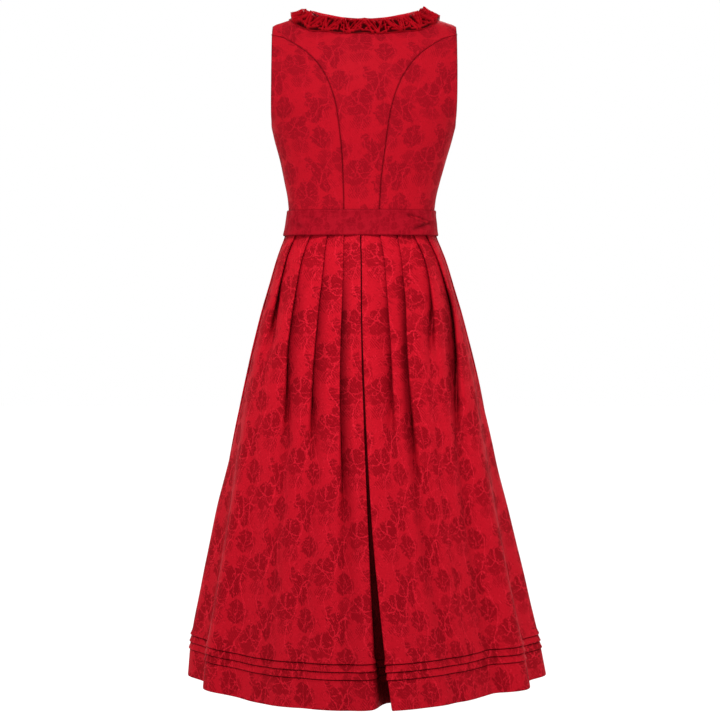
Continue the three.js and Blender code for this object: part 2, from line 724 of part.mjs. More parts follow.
const largeFold = (share, z) =>
  follow(HEM_FOLDS, "share", "out", Math.abs(share)) * ramp(FOLDS_FROM_Z, HEM_Z, z);

const foldDrop = (line) => FOLD_DROP * 4 * line.open * (1 - line.open);

// The pleats' edges on one side at one height, by their length s from the centre back.
function pleatLines(z, hand, rim) {
  const centre = { s: follow(CENTRE_PLEAT, "z", "gap", z), open: 0, valley: 0 };
  const rest = PLEATS.map((pleat) => {
    const open = ramp(pleat.opensAt, pleat.openBy, z);
    const fading = lerp(1, VALLEY_AT_HEM, ramp(pleat.openBy, HEM_Z, z));
    const valley = fading * (hand === 1 ? pleat.left : pleat.right);
    return { s: pleatShare(pleat, z) * rim, open, valley };
  });
  return [centre, ...rest];
}

// The centre back pleat's edge on one side. Only the left one rolls inward.
function centreEdge(z, hand, under, tilt) {
  const column = (name) => follow(CENTRE_PLEAT, "z", name, z);
  const [gap, depth, edge] = [column("gap"), column("depth"), column("edge")];
  const roll = hand === 1 ? column("roll") : 0;
  const inner = Math.min(depth - LAYER_PITCH, Math.max(LAYER_PITCH, depth * CENTRE_LAYER_DEPTH));
  const pressed = [
    { s: under, n: -depth - tilt },
    { s: under, n: -inner - tilt },
    { s: 0, n: -edge },
    { s: 0, n: 0 },
  ];
  return pressed.map(({ s, n }, i) => ({
    s: gap + lerp(s, ROLLED_EDGE[i].from, roll),
    n: lerp(n, -depth * ROLLED_EDGE[i].depth, roll),
  }));
}

// One side of the skirt at one height, as {s, n} from the centre back to the centre front: four points at
// each pleat and two along the panel that follows it.
function halfRing(z, hand) {
  const rim = oval(z).rim;
  const lines = pleatLines(z, hand, rim);
  const roll = hand === 1 ? follow(CENTRE_PLEAT, "z", "roll", z) : 0;
  const depth = follow(CENTRE_PLEAT, "z", "depth", z);
  const points = [];
  lines.forEach((line, k) => {
    const isLast = k === lines.length - 1;
    const before = k === 0 ? 0 : line.s - lines[k - 1].s;
    const after = (isLast ? rim : lines[k + 1].s) - line.s;
    const under = Math.min(PLEAT_UNDERLAY, after * UNDERLAY_LIMIT);
    const tilt = (2 * LAYER_PITCH * under) / after; // a pressed panel slopes down under the next one
    if (k === 0) points.push(...centreEdge(z, hand, under, tilt));
    else {
      for (const point of PLEAT_POINTS) {
        const opened = point.opened * (point.opened < 0 ? before : after);
        const s = line.s + lerp(point.under * under, opened, line.open);
        const pressed = point.layer * LAYER_PITCH + point.under * tilt;
        const n = lerp(pressed, point.valley * line.valley, line.open);
        points.push({ s, n: -n - foldDrop(line) * point.drop });
      }
    }
    if (isLast) {
      points.push({ s: line.s + after / 2, n: 0 });
      return;
    }
    const next = lines[k + 1];
    PANEL_POINTS.forEach((point, i) => {
      const open = Math.max(next.open, k === 0 ? roll : line.open);
      const rolled = k === 0 ? roll * depth * ROLLED_PANEL[i] : 0;
      const n = point.layer * LAYER_PITCH * (1 - next.open) + point.drop * foldDrop(next) + rolled;
      points.push({ s: line.s + lerp(point.pressed, point.opened, open) * after, n: -n });
    });
  });
  return points;
}

// The skirt's middle line at one height: both sides, and the points between them behind and in front.
function skirtRing(z) {
  const rim = oval(z).rim;
  const drift = follow(CENTRE_PLEAT, "z", "drift", z);
  const place = (hand, { s, n }) => {
    const shift = drift * Math.exp(-((s / rim / DRIFT_REACH) ** 2));
    const along = hand * s - shift;
    return onOval(z, along, n + largeFold(along / rim, z));
  };
  const left = halfRing(z, 1).map((point) => place(1, point));
  const right = halfRing(z, -1).map((point) => place(-1, point));
  const centreLayer = place(1, { s: 0, n: -follow(CENTRE_PLEAT, "z", "depth", z) });
  const middleFront = place(1, { s: rim, n: 0 });
  return { left, right, centreLayer, middleFront };
}

const CORNER_STRETCH = 1.5; // the most that a sharp corner is moved, against a straight stretch

// Moves a run of plan points outward by a distance.
function beside(run, distance) {
  return run.map((point, i) => {
    const before = run[Math.max(0, i - 1)];
    const after = run[Math.min(run.length - 1, i + 1)];
    const arrive = point.clone().sub(before).normalize();
    const leave = after.clone().sub(point).normalize();
    if (i === 0) arrive.copy(leave);
    if (i === run.length - 1) leave.copy(arrive);
    const along = arrive.clone().add(leave).normalize();
    const stretch = 1 / Math.max(1 / CORNER_STRETCH, along.dot(leave));
    return point.clone().add(new THREE.Vector2(-along.y, along.x).multiplyScalar(distance * stretch));
  });
}

// Heights of the skirt's rings, and how far a tuck lifts the cloth's face there.
function skirtRows() {
  const rows = SKIRT_RING_Z.map((z) => ({ z, lift: 0 }));
  const first = TUCK.bottomZ + (TUCK.count - 1) * TUCK.pitch;
  rows.push({ z: first + TUCK.pitch, lift: 0 });
  for (let i = 0; i < TUCK.count; i++) {
    const bottom = first - i * TUCK.pitch;
    rows.push({ z: bottom, lift: TUCK.lift });
    rows.push({ z: bottom - TUCK.undercut, lift: 0 });
  }
  rows.push({ z: HEM_Z, lift: 0 });
  return rows;
}

function skirtWall(cut) {
  const faces = skirtRows().map(({ z, lift }) => {
    const run = cut(skirtRing(z));
    const raised = (points) => points.map((p) => new THREE.Vector3(p.x, p.y, z));
    return {
      outer: raised(beside(run, SKIRT_CLOTH / 2 + lift)),
      inner: raised(beside(run, -SKIRT_CLOTH / 2)),
    };
  });
  return wallBetween(
    faces.map((face) => face.outer),
    faces.map((face) => face.inner),
  );
}

// Shortens a run at both ends, so that two widths meet a seam's gap apart.
function trimmed(run) {
  const short = run.map((point) => point.clone());
  for (const [end, next] of [[0, 1], [run.length - 1, run.length - 2]]) {
    const inward = run[next].clone().sub(run[end]).normalize();
    short[end].addScaledVector(inward, HALF_GAP);
  }
  return short;
}

// The seam lies in the seam pleat's lowest layer, between the end of the panel before and the inner fold.
const SEAM_AT = SEAM_PLEAT * (PLEAT_POINTS.length + PANEL_POINTS.length);
const SEAM_SHARE = 0.6;
const seamPoint = (side) => side[SEAM_AT - 1].clone().lerp(side[SEAM_AT], SEAM_SHARE);

function backWidth({ left, right, centreLayer }) {
  const leftRun = [...left.slice(0, SEAM_AT), seamPoint(left)];
  const rightRun = [...right.slice(0, SEAM_AT), seamPoint(right)].reverse();
  return trimmed([...rightRun, centreLayer, ...leftRun]);
}

function frontWidth({ left, right, middleFront }) {
  const leftRun = [seamPoint(left), ...left.slice(SEAM_AT)];
  const rightRun = [seamPoint(right), ...right.slice(SEAM_AT)].reverse();
  return trimmed([...leftRun, middleFront, ...rightRun]);
}

// ---------------------------------------------------------------- the whole dress

const dirndl = new THREE.Group();
const cloth = (colour, roughness) =>
  new THREE.MeshStandardMaterial({ color: colour, roughness, metalness: 0 });
const damask = cloth(RED, 0.62);
const bandCloth = cloth(DARK_RED, 0.6);
const rucheCloth = cloth(RED, 0.5);

function add(name, geometry, material) {
  const mesh = new THREE.Mesh(geometry, material);
  mesh.name = name;
  dirndl.add(mesh);
  return mesh;
}

const SIDE_COLUMNS = 6;
add("bodice_back", backPanel(), damask);
add("bodice_side_back_left", sidePanel(backSideSeam, BACK, 1, SIDE_COLUMNS), damask);
add("bodice_side_back_right", sidePanel(backSideSeam, BACK, -1, SIDE_COLUMNS), damask);
add("bodice_side_front_left", sidePanel(frontSideSeam, FRONT, 1, SIDE_COLUMNS), damask);
add("bodice_side_front_right", sidePanel(frontSideSeam, FRONT, -1, SIDE_COLUMNS), damask);
add("bodice_front_left", frontPanel(1), damask);
add("bodice_front_right", frontPanel(-1), damask);
add("neck_ruche", neckRuche(), rucheCloth);
add("waistband", waistband(), bandCloth);
add("skirt_back", skirtWall(backWidth), damask);
add("skirt_front", skirtWall(frontWidth), damask);

BUTTON_SEATS.forEach((seatHeight, i) => {
  const z = BUTTONS.topZ - i * BUTTONS.pitch;
  const length = clothLength(BUTTONS.x, z, FRONT);
  const normal = normalDown(BUTTONS.x, length, FRONT);
  const button = add(`button_${i + 1}`, buttonGeometry(), rucheCloth);
  const seat = moved(downForm(BUTTONS.x, length, FRONT), normal, OVER_LIFT + seatHeight);
  button.position.copy(leaning(seat));
  button.quaternion.setFromUnitVectors(new THREE.Vector3(0, 1, 0), normal);
});

export default dirndl;
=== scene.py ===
"""A sleeveless dirndl as it is worn, seen from behind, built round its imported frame.

Every shape is worked out in millimetres, in the frame's own axes: +Z up, -Y the wearer's front and +X the
wearer's left. The meshes are written in metres.
"""

import math

import bpy
import numpy as np
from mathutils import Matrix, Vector


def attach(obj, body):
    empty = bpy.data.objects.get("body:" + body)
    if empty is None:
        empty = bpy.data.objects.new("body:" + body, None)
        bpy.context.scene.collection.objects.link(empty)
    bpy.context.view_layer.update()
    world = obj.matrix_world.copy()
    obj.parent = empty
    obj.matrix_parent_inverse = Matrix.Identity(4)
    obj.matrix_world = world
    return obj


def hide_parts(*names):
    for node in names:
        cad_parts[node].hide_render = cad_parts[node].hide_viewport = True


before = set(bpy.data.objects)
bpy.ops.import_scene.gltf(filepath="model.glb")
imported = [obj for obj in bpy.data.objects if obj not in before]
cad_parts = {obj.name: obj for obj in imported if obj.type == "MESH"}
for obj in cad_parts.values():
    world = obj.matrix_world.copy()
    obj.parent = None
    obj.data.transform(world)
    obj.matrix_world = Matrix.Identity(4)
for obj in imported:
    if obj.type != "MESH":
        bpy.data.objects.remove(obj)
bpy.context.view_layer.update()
scene = bpy.context.scene

MM = 0.001
BACK, FRONT = 1, -1

# ---------------------------------------------------------------- driving sizes

SEAM_GAP = 0.3
HALF_GAP = SEAM_GAP / 2
BAND_TOP_Z = -333
BAND_BOTTOM_Z = -379
HEM_Z = -1152
BODICE_CLOTH = 1.5
SKIRT_CLOTH = 0.9

FORM_SQUARENESS = 2.25
SHOULDER_TIP_X = 162
ARMHOLE_X = 163
NECK_SIDE_X = 95
ROUNDING = {BACK: (190, 1.8), FRONT: (130, 1.8)}
BUST = {"x": 76, "z": -228, "spread_x": 44, "spread_z": 52, "rise": 13}
OVERLAP = {"over": 10, "under": -8, "ramp_from": -30, "ramp_to": -12}
OVER_LIFT = BODICE_CLOTH + 0.5


class Curve:
    """A table of (place, value) rows, read on a curve that never overshoots its rows."""

    def __init__(self, rows):
        self.at, self.value = (np.array(column, float) for column in zip(*sorted(rows)))
        slope = np.diff(self.value) / np.diff(self.at)
        self.tangent = np.concatenate([slope[:1], np.zeros(len(rows) - 2), slope[-1:]])
        before, after = slope[:-1], slope[1:]
        same = before * after > 0
        total = np.where(same, before + after, 1)
        self.tangent[1:-1] = np.where(same, 2 * before * after / total, 0)

    def __call__(self, at):
        at = np.clip(np.asarray(at, float), self.at[0], self.at[-1])
        i = np.clip(np.searchsorted(self.at, at, side="right") - 1, 0, len(self.at) - 2)
        width = self.at[i + 1] - self.at[i]
        t = (at - self.at[i]) / width
        t2, t3 = t * t, t * t * t
        return (
            (2 * t3 - 3 * t2 + 1) * self.value[i]
            + (t3 - 2 * t2 + t) * width * self.tangent[i]
            + (3 * t2 - 2 * t3) * self.value[i + 1]
            + (t3 - t2) * width * self.tangent[i + 1]
        )


def curves(rows):
    """One curve for each further column of a table, over its first column."""
    return [Curve([(row[0], row[i]) for row in rows]) for i in range(1, len(rows[0]))]


def lerp(a, b, t):
    return a + (b - a) * t


def ramp(start, end, v):
    t = np.clip((v - start) / (end - start), 0, 1)
    return t * t * (3 - 2 * t)


def bell(size, distance, width):
    """A size that dies away with the distance."""
    return size * np.exp(-((distance / width) ** 2))


class Ripple:
    """Smooth seeded noise over two lengths in millimetres, from about -1 to 1."""

    SIZE = 64
    START = (17.3, 9.1)

    def __init__(self, seed, cell_u, cell_v):
        self.lattice = np.random.default_rng(seed).uniform(-1, 1, (self.SIZE, self.SIZE))
        self.cell = (cell_u, cell_v)

    def at(self, i, j):
        return self.lattice[i % self.SIZE, j % self.SIZE]

    def __call__(self, u, v):
        x, y = (np.asarray(a, float) / cell + start for a, cell, start in zip((u, v), self.cell, self.START))
        i, j = np.floor(x).astype(int), np.floor(y).astype(int)
        fx, fy = ramp(0, 1, x - i), ramp(0, 1, y - j)
        low = lerp(self.at(i, j), self.at(i + 1, j), fx)
        high = lerp(self.at(i, j + 1), self.at(i + 1, j + 1), fx)
        return lerp(low, high, fy)


def lengths_along(points, axis=0):
    """How long the line through points is up to each of them, from 0 at the first one along an axis."""
    steps = np.linalg.norm(np.diff(points, axis=axis), axis=-1)
    return np.concatenate([np.zeros_like(np.take(steps, [0], axis)), np.cumsum(steps, axis)], axis)


def mean_heights(grid):
    """How far up the cloth each row of a grid of points lies, as a mean over its columns."""
    steps = np.linalg.norm(np.diff(grid, axis=0), axis=2).mean(1)
    return np.concatenate([[0], np.cumsum(steps)])


# ---------------------------------------------------------------- the dress form

# Height, half width, and depth behind and in front.
form_half, form_back, form_front = curves([
    (-384, 139.5, 97, 104), (-356, 133, 91, 101), (-333, 129.5, 88.5, 100), (-313, 131, 88.5, 104),
    (-278, 138, 91, 113), (-242, 147, 96, 121), (-207, 157, 101, 123), (-183, 163, 103, 121),
    (-175, 165.5, 103.4, 120), (-160, 174, 104, 117), (-130, 184, 104, 112), (-90, 190, 103, 105),
    (-40, 190, 102, 98), (60, 190, 102, 95),
])
shoulder_z = Curve([(0, 50), (60, 36), (95, 21), (130, 7), (164, -4)])
BACK_NECK = [(0, -2), (30, -1), (50, 3), (70, 9), (85, 15.5), (95, 21)]
back_neck_z = Curve(BACK_NECK)
BACK_SEAM = [
    (-355.85, 30), (-333, 30.6), (-300, 31.8), (-265, 34), (-231, 37.2), (-205, 40), (-183, 43),
    (-175, 44.4), (-160, 47), (-140, 52), (-105, 66), (-72, 88.5), (-46, 118), (-31, 141),
    (-23, ARMHOLE_X),
]
# Seam height, seam x, inner height and inner x; an inner x of None lies on the lap.
FRONT_ROWS = [
    (-355.85, 44, -355.85, None), (-333, 46, -333, None), (-300, 55, -300, None),
    (-265, 67, -267, None), (-231, 77, -237, None), (-205, 84, -214, None), (-183, 93, -196, None),
    (-175, 97.4, -195, 13), (-160, 107, -190, 28), (-140, 124, -176, 50), (-122, 145, -150, 70),
    (-108, ARMHOLE_X, -112, 82), (-80, ARMHOLE_X, -72, 88), (-50, ARMHOLE_X, -34, 92),
    (-25, ARMHOLE_X, -4, 94.5),
]
FRONT_SEAM_ROWS = 12
lean_x = Curve([
    (-1152, -9), (-1087, -6), (-998, -4), (-909, -2.5), (-731, -1), (-600, 0), (-430, 0.5),
    (-375, 1.5), (-333, 0), (-285, -1), (-240, -2.7), (-180, -3.6), (-100, -4.8), (30, -5),
])


def ridge_z(x):
    return shoulder_z(np.abs(x))


def rounding(x, z, side):
    depth = np.where(side == BACK, ROUNDING[BACK][0], ROUNDING[FRONT][0])
    power = np.where(side == BACK, ROUNDING[BACK][1], ROUNDING[FRONT][1])
    above = 1 - np.clip((ridge_z(x) - z) / depth, 0, 1)
    return (1 - above**power) ** (1 / power)


def form_depth(x, z, side):
    across = (np.abs(x) - BUST["x"]) / BUST["spread_x"]
    up = (z - BUST["z"]) / BUST["spread_z"]
    bust = BUST["rise"] * np.exp(-(across**2) - up**2)
    return np.where(side == BACK, form_back(z), form_front(z) + bust)


def on_form(x, z, side):
    """The form's surface behind or before a point of the frontal plane."""
    x, z, side = np.broadcast_arrays(np.asarray(x, float), np.asarray(z, float), side)
    inward = 1 - np.clip(np.abs(x) / form_half(z), 0, 1) ** FORM_SQUARENESS
    y = side * form_depth(x, z, side) * inward ** (1 / FORM_SQUARENESS) * rounding(x, z, side)
    return np.stack([x, y, z], -1)


def round_form(turn, z, side):
    """The form's surface at a turn about the upright axis: a quarter turn is the side seam."""
    power = 2 / FORM_SQUARENESS
    x = form_half(z) * np.sign(turn) * np.abs(np.sin(turn)) ** power
    bulge = np.maximum(0, np.cos(turn)) ** power
    y = side * form_depth(x, z, side) * bulge * rounding(x, z, side)
    return np.stack(np.broadcast_arrays(x, y, z), -1)


def turn_at(x, z):
    return np.arcsin(np.clip(x / form_half(z), 0, 1) ** (FORM_SQUARENESS / 2))


def lap_lift(x):
    """How far the right front stands out where it laps over the left one."""
    return OVER_LIFT * ramp(OVERLAP["ramp_from"], OVERLAP["ramp_to"], x)


PROFILE_STEPS = 48
PROFILE_DROP = 420
PROFILE_CROWDING = 2.4
DROPS = PROFILE_DROP * (np.arange(PROFILE_STEPS + 1) / PROFILE_STEPS) ** PROFILE_CROWDING


def profiles(x, side):
    """Lengths of cloth down the form from the shoulder line, one row for each x."""
    return lengths_along(on_form(x[:, None], ridge_z(x)[:, None] - DROPS, side[:, None]), 1)


def read_rows(at, known, wanted):
    """Reads each row of a table at its own place."""
    i = np.clip((known <= at[:, None]).sum(1) - 1, 0, known.shape[1] - 2)
    rows = np.arange(len(at))
    t = (at - known[rows, i]) / (known[rows, i + 1] - known[rows, i])
    return lerp(wanted[rows, i], wanted[rows, i + 1], np.clip(t, 0, 1))


def flattened(*arrays):
    """The arrays' common shape, and each of them spread out to it as one run of numbers."""
    shape = np.broadcast(*arrays).shape
    return shape, *(np.broadcast_to(a, shape).astype(float).ravel() for a in arrays)


def down_form(x, length, side):
    """A point at a length of cloth below the shoulder line. Below 0 it lies on the other side."""
    shape, x, length, side = flattened(x, length, side)
    side = np.where(length < 0, -side, side)
    lengths = profiles(x, side)
    drop = read_rows(np.abs(length), lengths, np.broadcast_to(DROPS, lengths.shape))
    return on_form(x, ridge_z(x) - drop, side).reshape(*shape, 3)


def cloth_length(x, z, side):
    """The length of cloth from the shoulder line down to a point of the form."""
    shape, x, z, side = flattened(x, z, side)
    lengths = profiles(x, side)
    return read_rows(ridge_z(x) - z, np.broadcast_to(DROPS, lengths.shape), lengths).reshape(shape)


def unit(v):
    return v / np.maximum(np.linalg.norm(v, axis=-1, keepdims=True), 1e-9)


NORMAL_STEP = 1.5


def normal_down(x, length, side):
    """The form's outward direction at a length of cloth below the shoulder line."""
    step = NORMAL_STEP
    along = down_form(x, length + step, side) - down_form(x, length - step, side)
    across = down_form(x + step, length, side) - down_form(x - step, length, side)
    return unit(np.cross(across, along)) * np.broadcast_to(side, np.shape(length))[..., None]


# ---------------------------------------------------------------- meshes

def grid_normals(grid, outward):
    """Normals of a grid of points, turned so that they mostly agree with the outward directions."""
    normals = unit(np.cross(np.gradient(grid, axis=1), np.gradient(grid, axis=0)))
    return normals if (normals * outward).sum() > 0 else -normals


def from_axis(grid):
    return unit(grid * np.array([1, 1, 0]))


def cloth_uv(grid, outward, start=(0, 0)):
    """The cloth's own lengths in millimetres: across to the right as seen from outside, and up."""
    u, v = lengths_along(grid, 1), mean_heights(grid)
    middle = grid.shape[1] // 2
    u = u - u[:, middle : middle + 1]
    column = grid[:, middle]
    up = np.sign(column[-1, 2] - column[0, 2])
    row = len(grid) // 2
    right = np.cross(up * (column[row + 1] - column[row - 1]), outward[row, middle])
    hand = np.sign(np.dot(right, grid[row, middle + 1] - grid[row, middle - 1]))
    return np.stack([start[0] + hand * u, np.broadcast_to((start[1] + up * v)[:, None], u.shape)], -1)


SHARP_FROM = math.radians(58)  # faces that meet at more than this show an edge


def mesh_object(name, points, faces, uv, material, shade=None):
    """An object from points in millimetres, faces by index, and one place on the cloth a point.
    Shade is the painted shade of each point, in sewn lines, pressed creases and hollows, from 0 to 1."""
    points = points.copy()
    points[:, 0] += lean_x(points[:, 2])
    mesh = bpy.data.meshes.new(name)
    mesh.from_pydata((points * MM).tolist(), [], faces)
    layer = mesh.uv_layers.new(name="cloth")
    corner = np.empty(len(mesh.loops), np.int32)
    mesh.loops.foreach_get("vertex_index", corner)
    layer.data.foreach_set("uv", (uv[corner] * MM).astype(np.float32).ravel())
    # Each point's painted shade, which darkens the cloth's colour there.
    painted_shade = mesh.attributes.new("painted_shade", "FLOAT", "POINT")
    painted_shade.data.foreach_set("value", np.zeros(len(points)) if shade is None else shade)
    mesh.shade_smooth()
    mesh.set_sharp_from_angle(angle=SHARP_FROM)
    mesh.validate()
    obj = bpy.data.objects.new(name, mesh)
    scene.collection.objects.link(obj)
    obj.data.materials.append(material)
    return obj


def shell(name, outer, normals, uv, thickness, material, shade):
    """A wall of cloth below an outer face that is given as a grid of points."""
    rows, columns = outer.shape[:2]
    inner = outer - normals * thickness
    points = np.concatenate([outer.reshape(-1, 3), inner.reshape(-1, 3)])
    ids = np.arange(rows * columns).reshape(rows, columns)
    under = ids + rows * columns
    quads = [
        (ids[:-1, :-1], ids[:-1, 1:], ids[1:, 1:], ids[1:, :-1]),
        (under[1:, :-1], under[1:, 1:], under[:-1, 1:], under[:-1, :-1]),
        (ids[:-1, 0], ids[1:, 0], under[1:, 0], under[:-1, 0]),
        (ids[:-1, -1], under[:-1, -1], under[1:, -1], ids[1:, -1]),
        (ids[0, :-1], under[0, :-1], under[0, 1:], ids[0, 1:]),
        (ids[-1, :-1], ids[-1, 1:], under[-1, 1:], under[-1, :-1]),
    ]
    faces = np.concatenate([np.stack(corners, -1).reshape(-1, 4) for corners in quads])
    a, b, d = outer[0, 0], outer[0, 1], outer[1, 0]
    if np.dot(np.cross(b - a, d - a), normals[0, 0]) < 0:
        faces = faces[:, ::-1]
    both = np.concatenate([uv.reshape(-1, 2)] * 2)
    return mesh_object(name, points, faces.tolist(), both, material, np.concatenate([shade.ravel()] * 2))


def declare(piece, slot, *nodes):
    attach(piece, "root")
    if nodes:
        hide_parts(*nodes)
    return piece


def crowded(count, amount=0.75):
    """Shares from 0 to 1 that lie closer together near both ends."""
    even = np.linspace(0, 1, count)
    return lerp(even, 0.5 - 0.5 * np.cos(np.pi * even), amount)


def spaced(rows, count):
    """Rows of numbers, of which the first two are a place, spread evenly along the places' own line."""
    table = np.array(rows, float)
    index = np.arange(len(table))
    columns = [Curve(list(zip(index, column))) for column in table.T]
    fine = np.linspace(0, len(table) - 1, 600)
    values = np.stack([column(fine) for column in columns], -1)
    lengths = lengths_along(values[:, :2])
    even = np.linspace(0, lengths[-1], count)
    return np.stack([np.interp(even, lengths, column) for column in values.T], -1)


def seam_distance(grid, edges, skip):
    """Each point's length of cloth to the nearest of the panel's sewn edges."""
    u, v = lengths_along(grid, 1), lengths_along(grid, 0)
    distance = {
        "left": np.abs(u - u[:, skip : skip + 1]),
        "right": u[:, -1:] - u,
        "bottom": v,
        "top": v[-1:] - v,
    }
    return np.minimum.reduce([distance[edge] for edge in edges])


# ---------------------------------------------------------------- materials

DISPLAY_GAMMA = 2.2


def linear(red, green, blue):
    """A display colour, 0 to 255, as the scene's linear light."""
    return tuple((c / 255) ** DISPLAY_GAMMA for c in (red, green, blue)) + (1,)


def darker(colour, share):
    return tuple(c * share for c in colour[:3]) + (1,)


class Wire:
    """A number in a node tree, with arithmetic that makes its Math nodes."""

    def __init__(self, tree, socket):
        self.tree = tree
        self.socket = socket

    def do(self, operation, *others):
        node = self.tree.nodes.new("ShaderNodeMath")
        node.operation = operation
        for i, value in enumerate((self, *others)):
            if isinstance(value, Wire):
                self.tree.links.new(value.socket, node.inputs[i])
            else:
                node.inputs[i].default_value = value
        return Wire(self.tree, node.outputs[0])

    def __add__(self, other):
        return self.do("ADD", other)

    def __sub__(self, other):
        return self.do("SUBTRACT", other)

    def __mul__(self, other):
        return self.do("MULTIPLY", other)

    def __neg__(self):
        return self.do("MULTIPLY", -1)

    def within(self, low=0.0, high=1.0):
        return self.do("MAXIMUM", low).do("MINIMUM", high)

    def size(self):
        return self.do("ABSOLUTE")

    def wrapped(self, low, high):
        return self.do("WRAP", high, low)


def either(masks):
    total = masks[0]
    for mask in masks[1:]:
        total = total.do("MAXIMUM", mask)
    return total


def noise_node(tree, place, scale, detail):
    """A noise texture read at a place in millimetres."""
    node = tree.nodes.new("ShaderNodeTexNoise")
    node.inputs["Scale"].default_value = scale
    node.inputs["Detail"].default_value = detail
    tree.links.new(place, node.inputs["Vector"])
    return node


EDGE_MM = 1.6  # how softly a motif's edge turns into the ground
COLUMN, DROP = 79, 120  # the repeat in millimetres; each next column hangs lower by half of the drop
TOOTH = 0.24  # how deep a leaf's teeth are cut, as a share of its half width


def turned(x, y, origin, turn):
    """A place along and across a direction through an origin."""
    c, s = math.cos(math.radians(turn)), math.sin(math.radians(turn))
    dx, dy = x - origin[0], y - origin[1]
    return dx * c + dy * s, dy * c - dx * s


def petal(x, y, centre, wide, high, turn):
    """How far inside a rounded petal a place lies, in millimetres."""
    across, along = turned(x, y, centre, turn)
    across, along = across * (1 / wide), along * (1 / high)
    radius = (across * across + along * along).do("SQRT")
    return (-radius + 1) * min(wide, high)


def leaf(x, y, base, turn, length, width, teeth):
    """How far inside a pointed leaf a place lies, and its distance from the leaf's middle vein."""
    along, off = turned(x, y, base, turn)
    along, off = along * (1 / length), off.size()
    half = along * (-along + 1) * (2 * width)
    if teeth:
        half = half * ((along * (2 * math.pi * teeth)).do("SINE") * TOOTH + 1)
    return half - off, off


def filled(inside, tone):
    return (inside * (1 / EDGE_MM) + 0.5).within() * tone


def outline(inside, thick, core=1):
    """A line where a shape's inside is 0. A core above 1 fills its middle."""
    return (-(inside.size() * (1 / thick)) + core).within()


def local(x, y, at):
    """The cloth's places round one spot of the repeat."""
    column = ((x - at[0]) * (1 / COLUMN) + 0.5).do("FLOOR")
    dx = x - at[0] - column * COLUMN
    dy = (y - at[1] + column * (DROP / 2)).wrapped(-DROP / 2, DROP / 2)
    return dx, dy


def fan(base, turns, length, width, tone):
    """Narrow leaves from one base, every other one a little shorter."""
    return [(base, turn, length * (0.86 + 0.14 * (i % 2)), width, 0, tone) for i, turn in enumerate(turns)]


# Each spot of the repeat: its petals (centre, half width, half height, turn, tone), its leaves (base,
# turn, length, width, teeth, tone), the bright curves in its petals, which are petals' outlines, and the
# petals that are woven in strokes alone.
MOTIFS = [
    {   # a full rose with a fan of narrow leaves below it
        "at": (0, 0),
        "petals": [
            ((3, 9), 19, 15.5, -18, 0.95), ((-5, -7), 16, 15, 25, 0.85), ((12, -7), 11, 13, 10, 0.8),
            ((-14, 4), 10, 11, 0, 0.85),
        ],
        "leaves": [
            *fan((4, -17), (-42, -62, -82, -102, -124), 27, 6.2, 0.8),
            ((-18, 6), 152, 17, 8, 0, 0.7), ((18, 14), 38, 15, 8, 0, 0.7),
        ],
        "curves": [((9, 24), 26, 25, 0), ((-16, 12), 17, 17, 0), ((14, 8), 15, 20, 24)],
        "strokes": [((2, -33), 19, 12, 0, 0.8), ((-22, -4), 8, 13, 0, 0.6)],
    },
    {   # a large toothed leaf and the paler one beside it
        "at": (44, -20),
        "petals": [((14, 1), 8.5, 10.5, -12, 0.6), ((13, -10), 7, 7, 0, 0.5), ((-2, -3), 13, 14, 0, 0.85)],
        "leaves": [
            ((0, -20), 92, 43, 31, 4, 0.95), ((3, -9), 50, 21, 15, 0, 0.9), ((-2, -9), 134, 20, 15, 0, 0.9),
            *fan((0, -22), (-56, -80, -104, -128), 20, 4.8, 0.7),
        ],
        "curves": [],
        "strokes": [((1, -36), 15, 9, 0, 0.7)],
    },
    {   # a hanging flower of three lobes, with two small leaves and a spray at its stalk
        "at": (31, 34),
        "petals": [
            ((-1, 2), 15, 19, 14, 0.95), ((-12, -9), 11, 10, 0, 0.85), ((9, 7), 11, 13, -24, 0.88),
            ((-8, 13), 10, 10, 20, 0.88),
        ],
        "leaves": [
            ((2, -4), -80, 27, 18, 0, 1.0), ((-11, 28), 188, 17, 11, 0, 0.9),
            ((-11, 13), 166, 17, 11, 0, 0.9), *fan((10, 17), (108, 86, 62, 28, -20, -46), 22, 5.0, 0.7),
        ],
        "curves": [((-12, 6), 13, 22, 10), ((10, -6), 11, 20, -20)],
        "strokes": [((17, 22), 15, 13, 0, 0.6), ((16, -14), 9, 12, 0, 0.6)],
    },
]
# Stems: the column that each follows, how far it swings, where in the repeat, and how thick it is.
STEMS = [(14, 11, 0.9, 0.7), (52, 9, 2.9, 0.7)]
SCRIBBLE = 0.6  # the tone of the loose strokes between the motifs
FILIGREE = 0.75  # how clear the fine curling lines are that fill the cloth
HATCH = (4.2, 0.7)  # spacing and lean of the strokes in which the motifs are woven
WAVERS = [(0.05, 12), (0.24, 6), (0.7, 2.4)]  # noise that makes the drawing uneven: scale and millimetres
VEIN_FROM_WIDTH, VEIN_THICK, VEIN_TONE = 6, 0.9, 0.7  # the leaves' middle veins
CURVE_THICK = 1.0
CLOUDS, VINES = (0.11, 2), (0.085, 1)  # scale and detail of the noise that the strokes and the curls follow
CURL_BENDS, CURL_THICK = 5, 1 / 2.8
LINE_CORE = 1.3  # how full a stem's or a curl's line is in its middle
LINE_CUT = 0.75  # how far the fine lines cut through the motifs
STROKE_SHARE = (0.22, 0.82)  # how much of a motif's tone the strokes make up, and how much is even


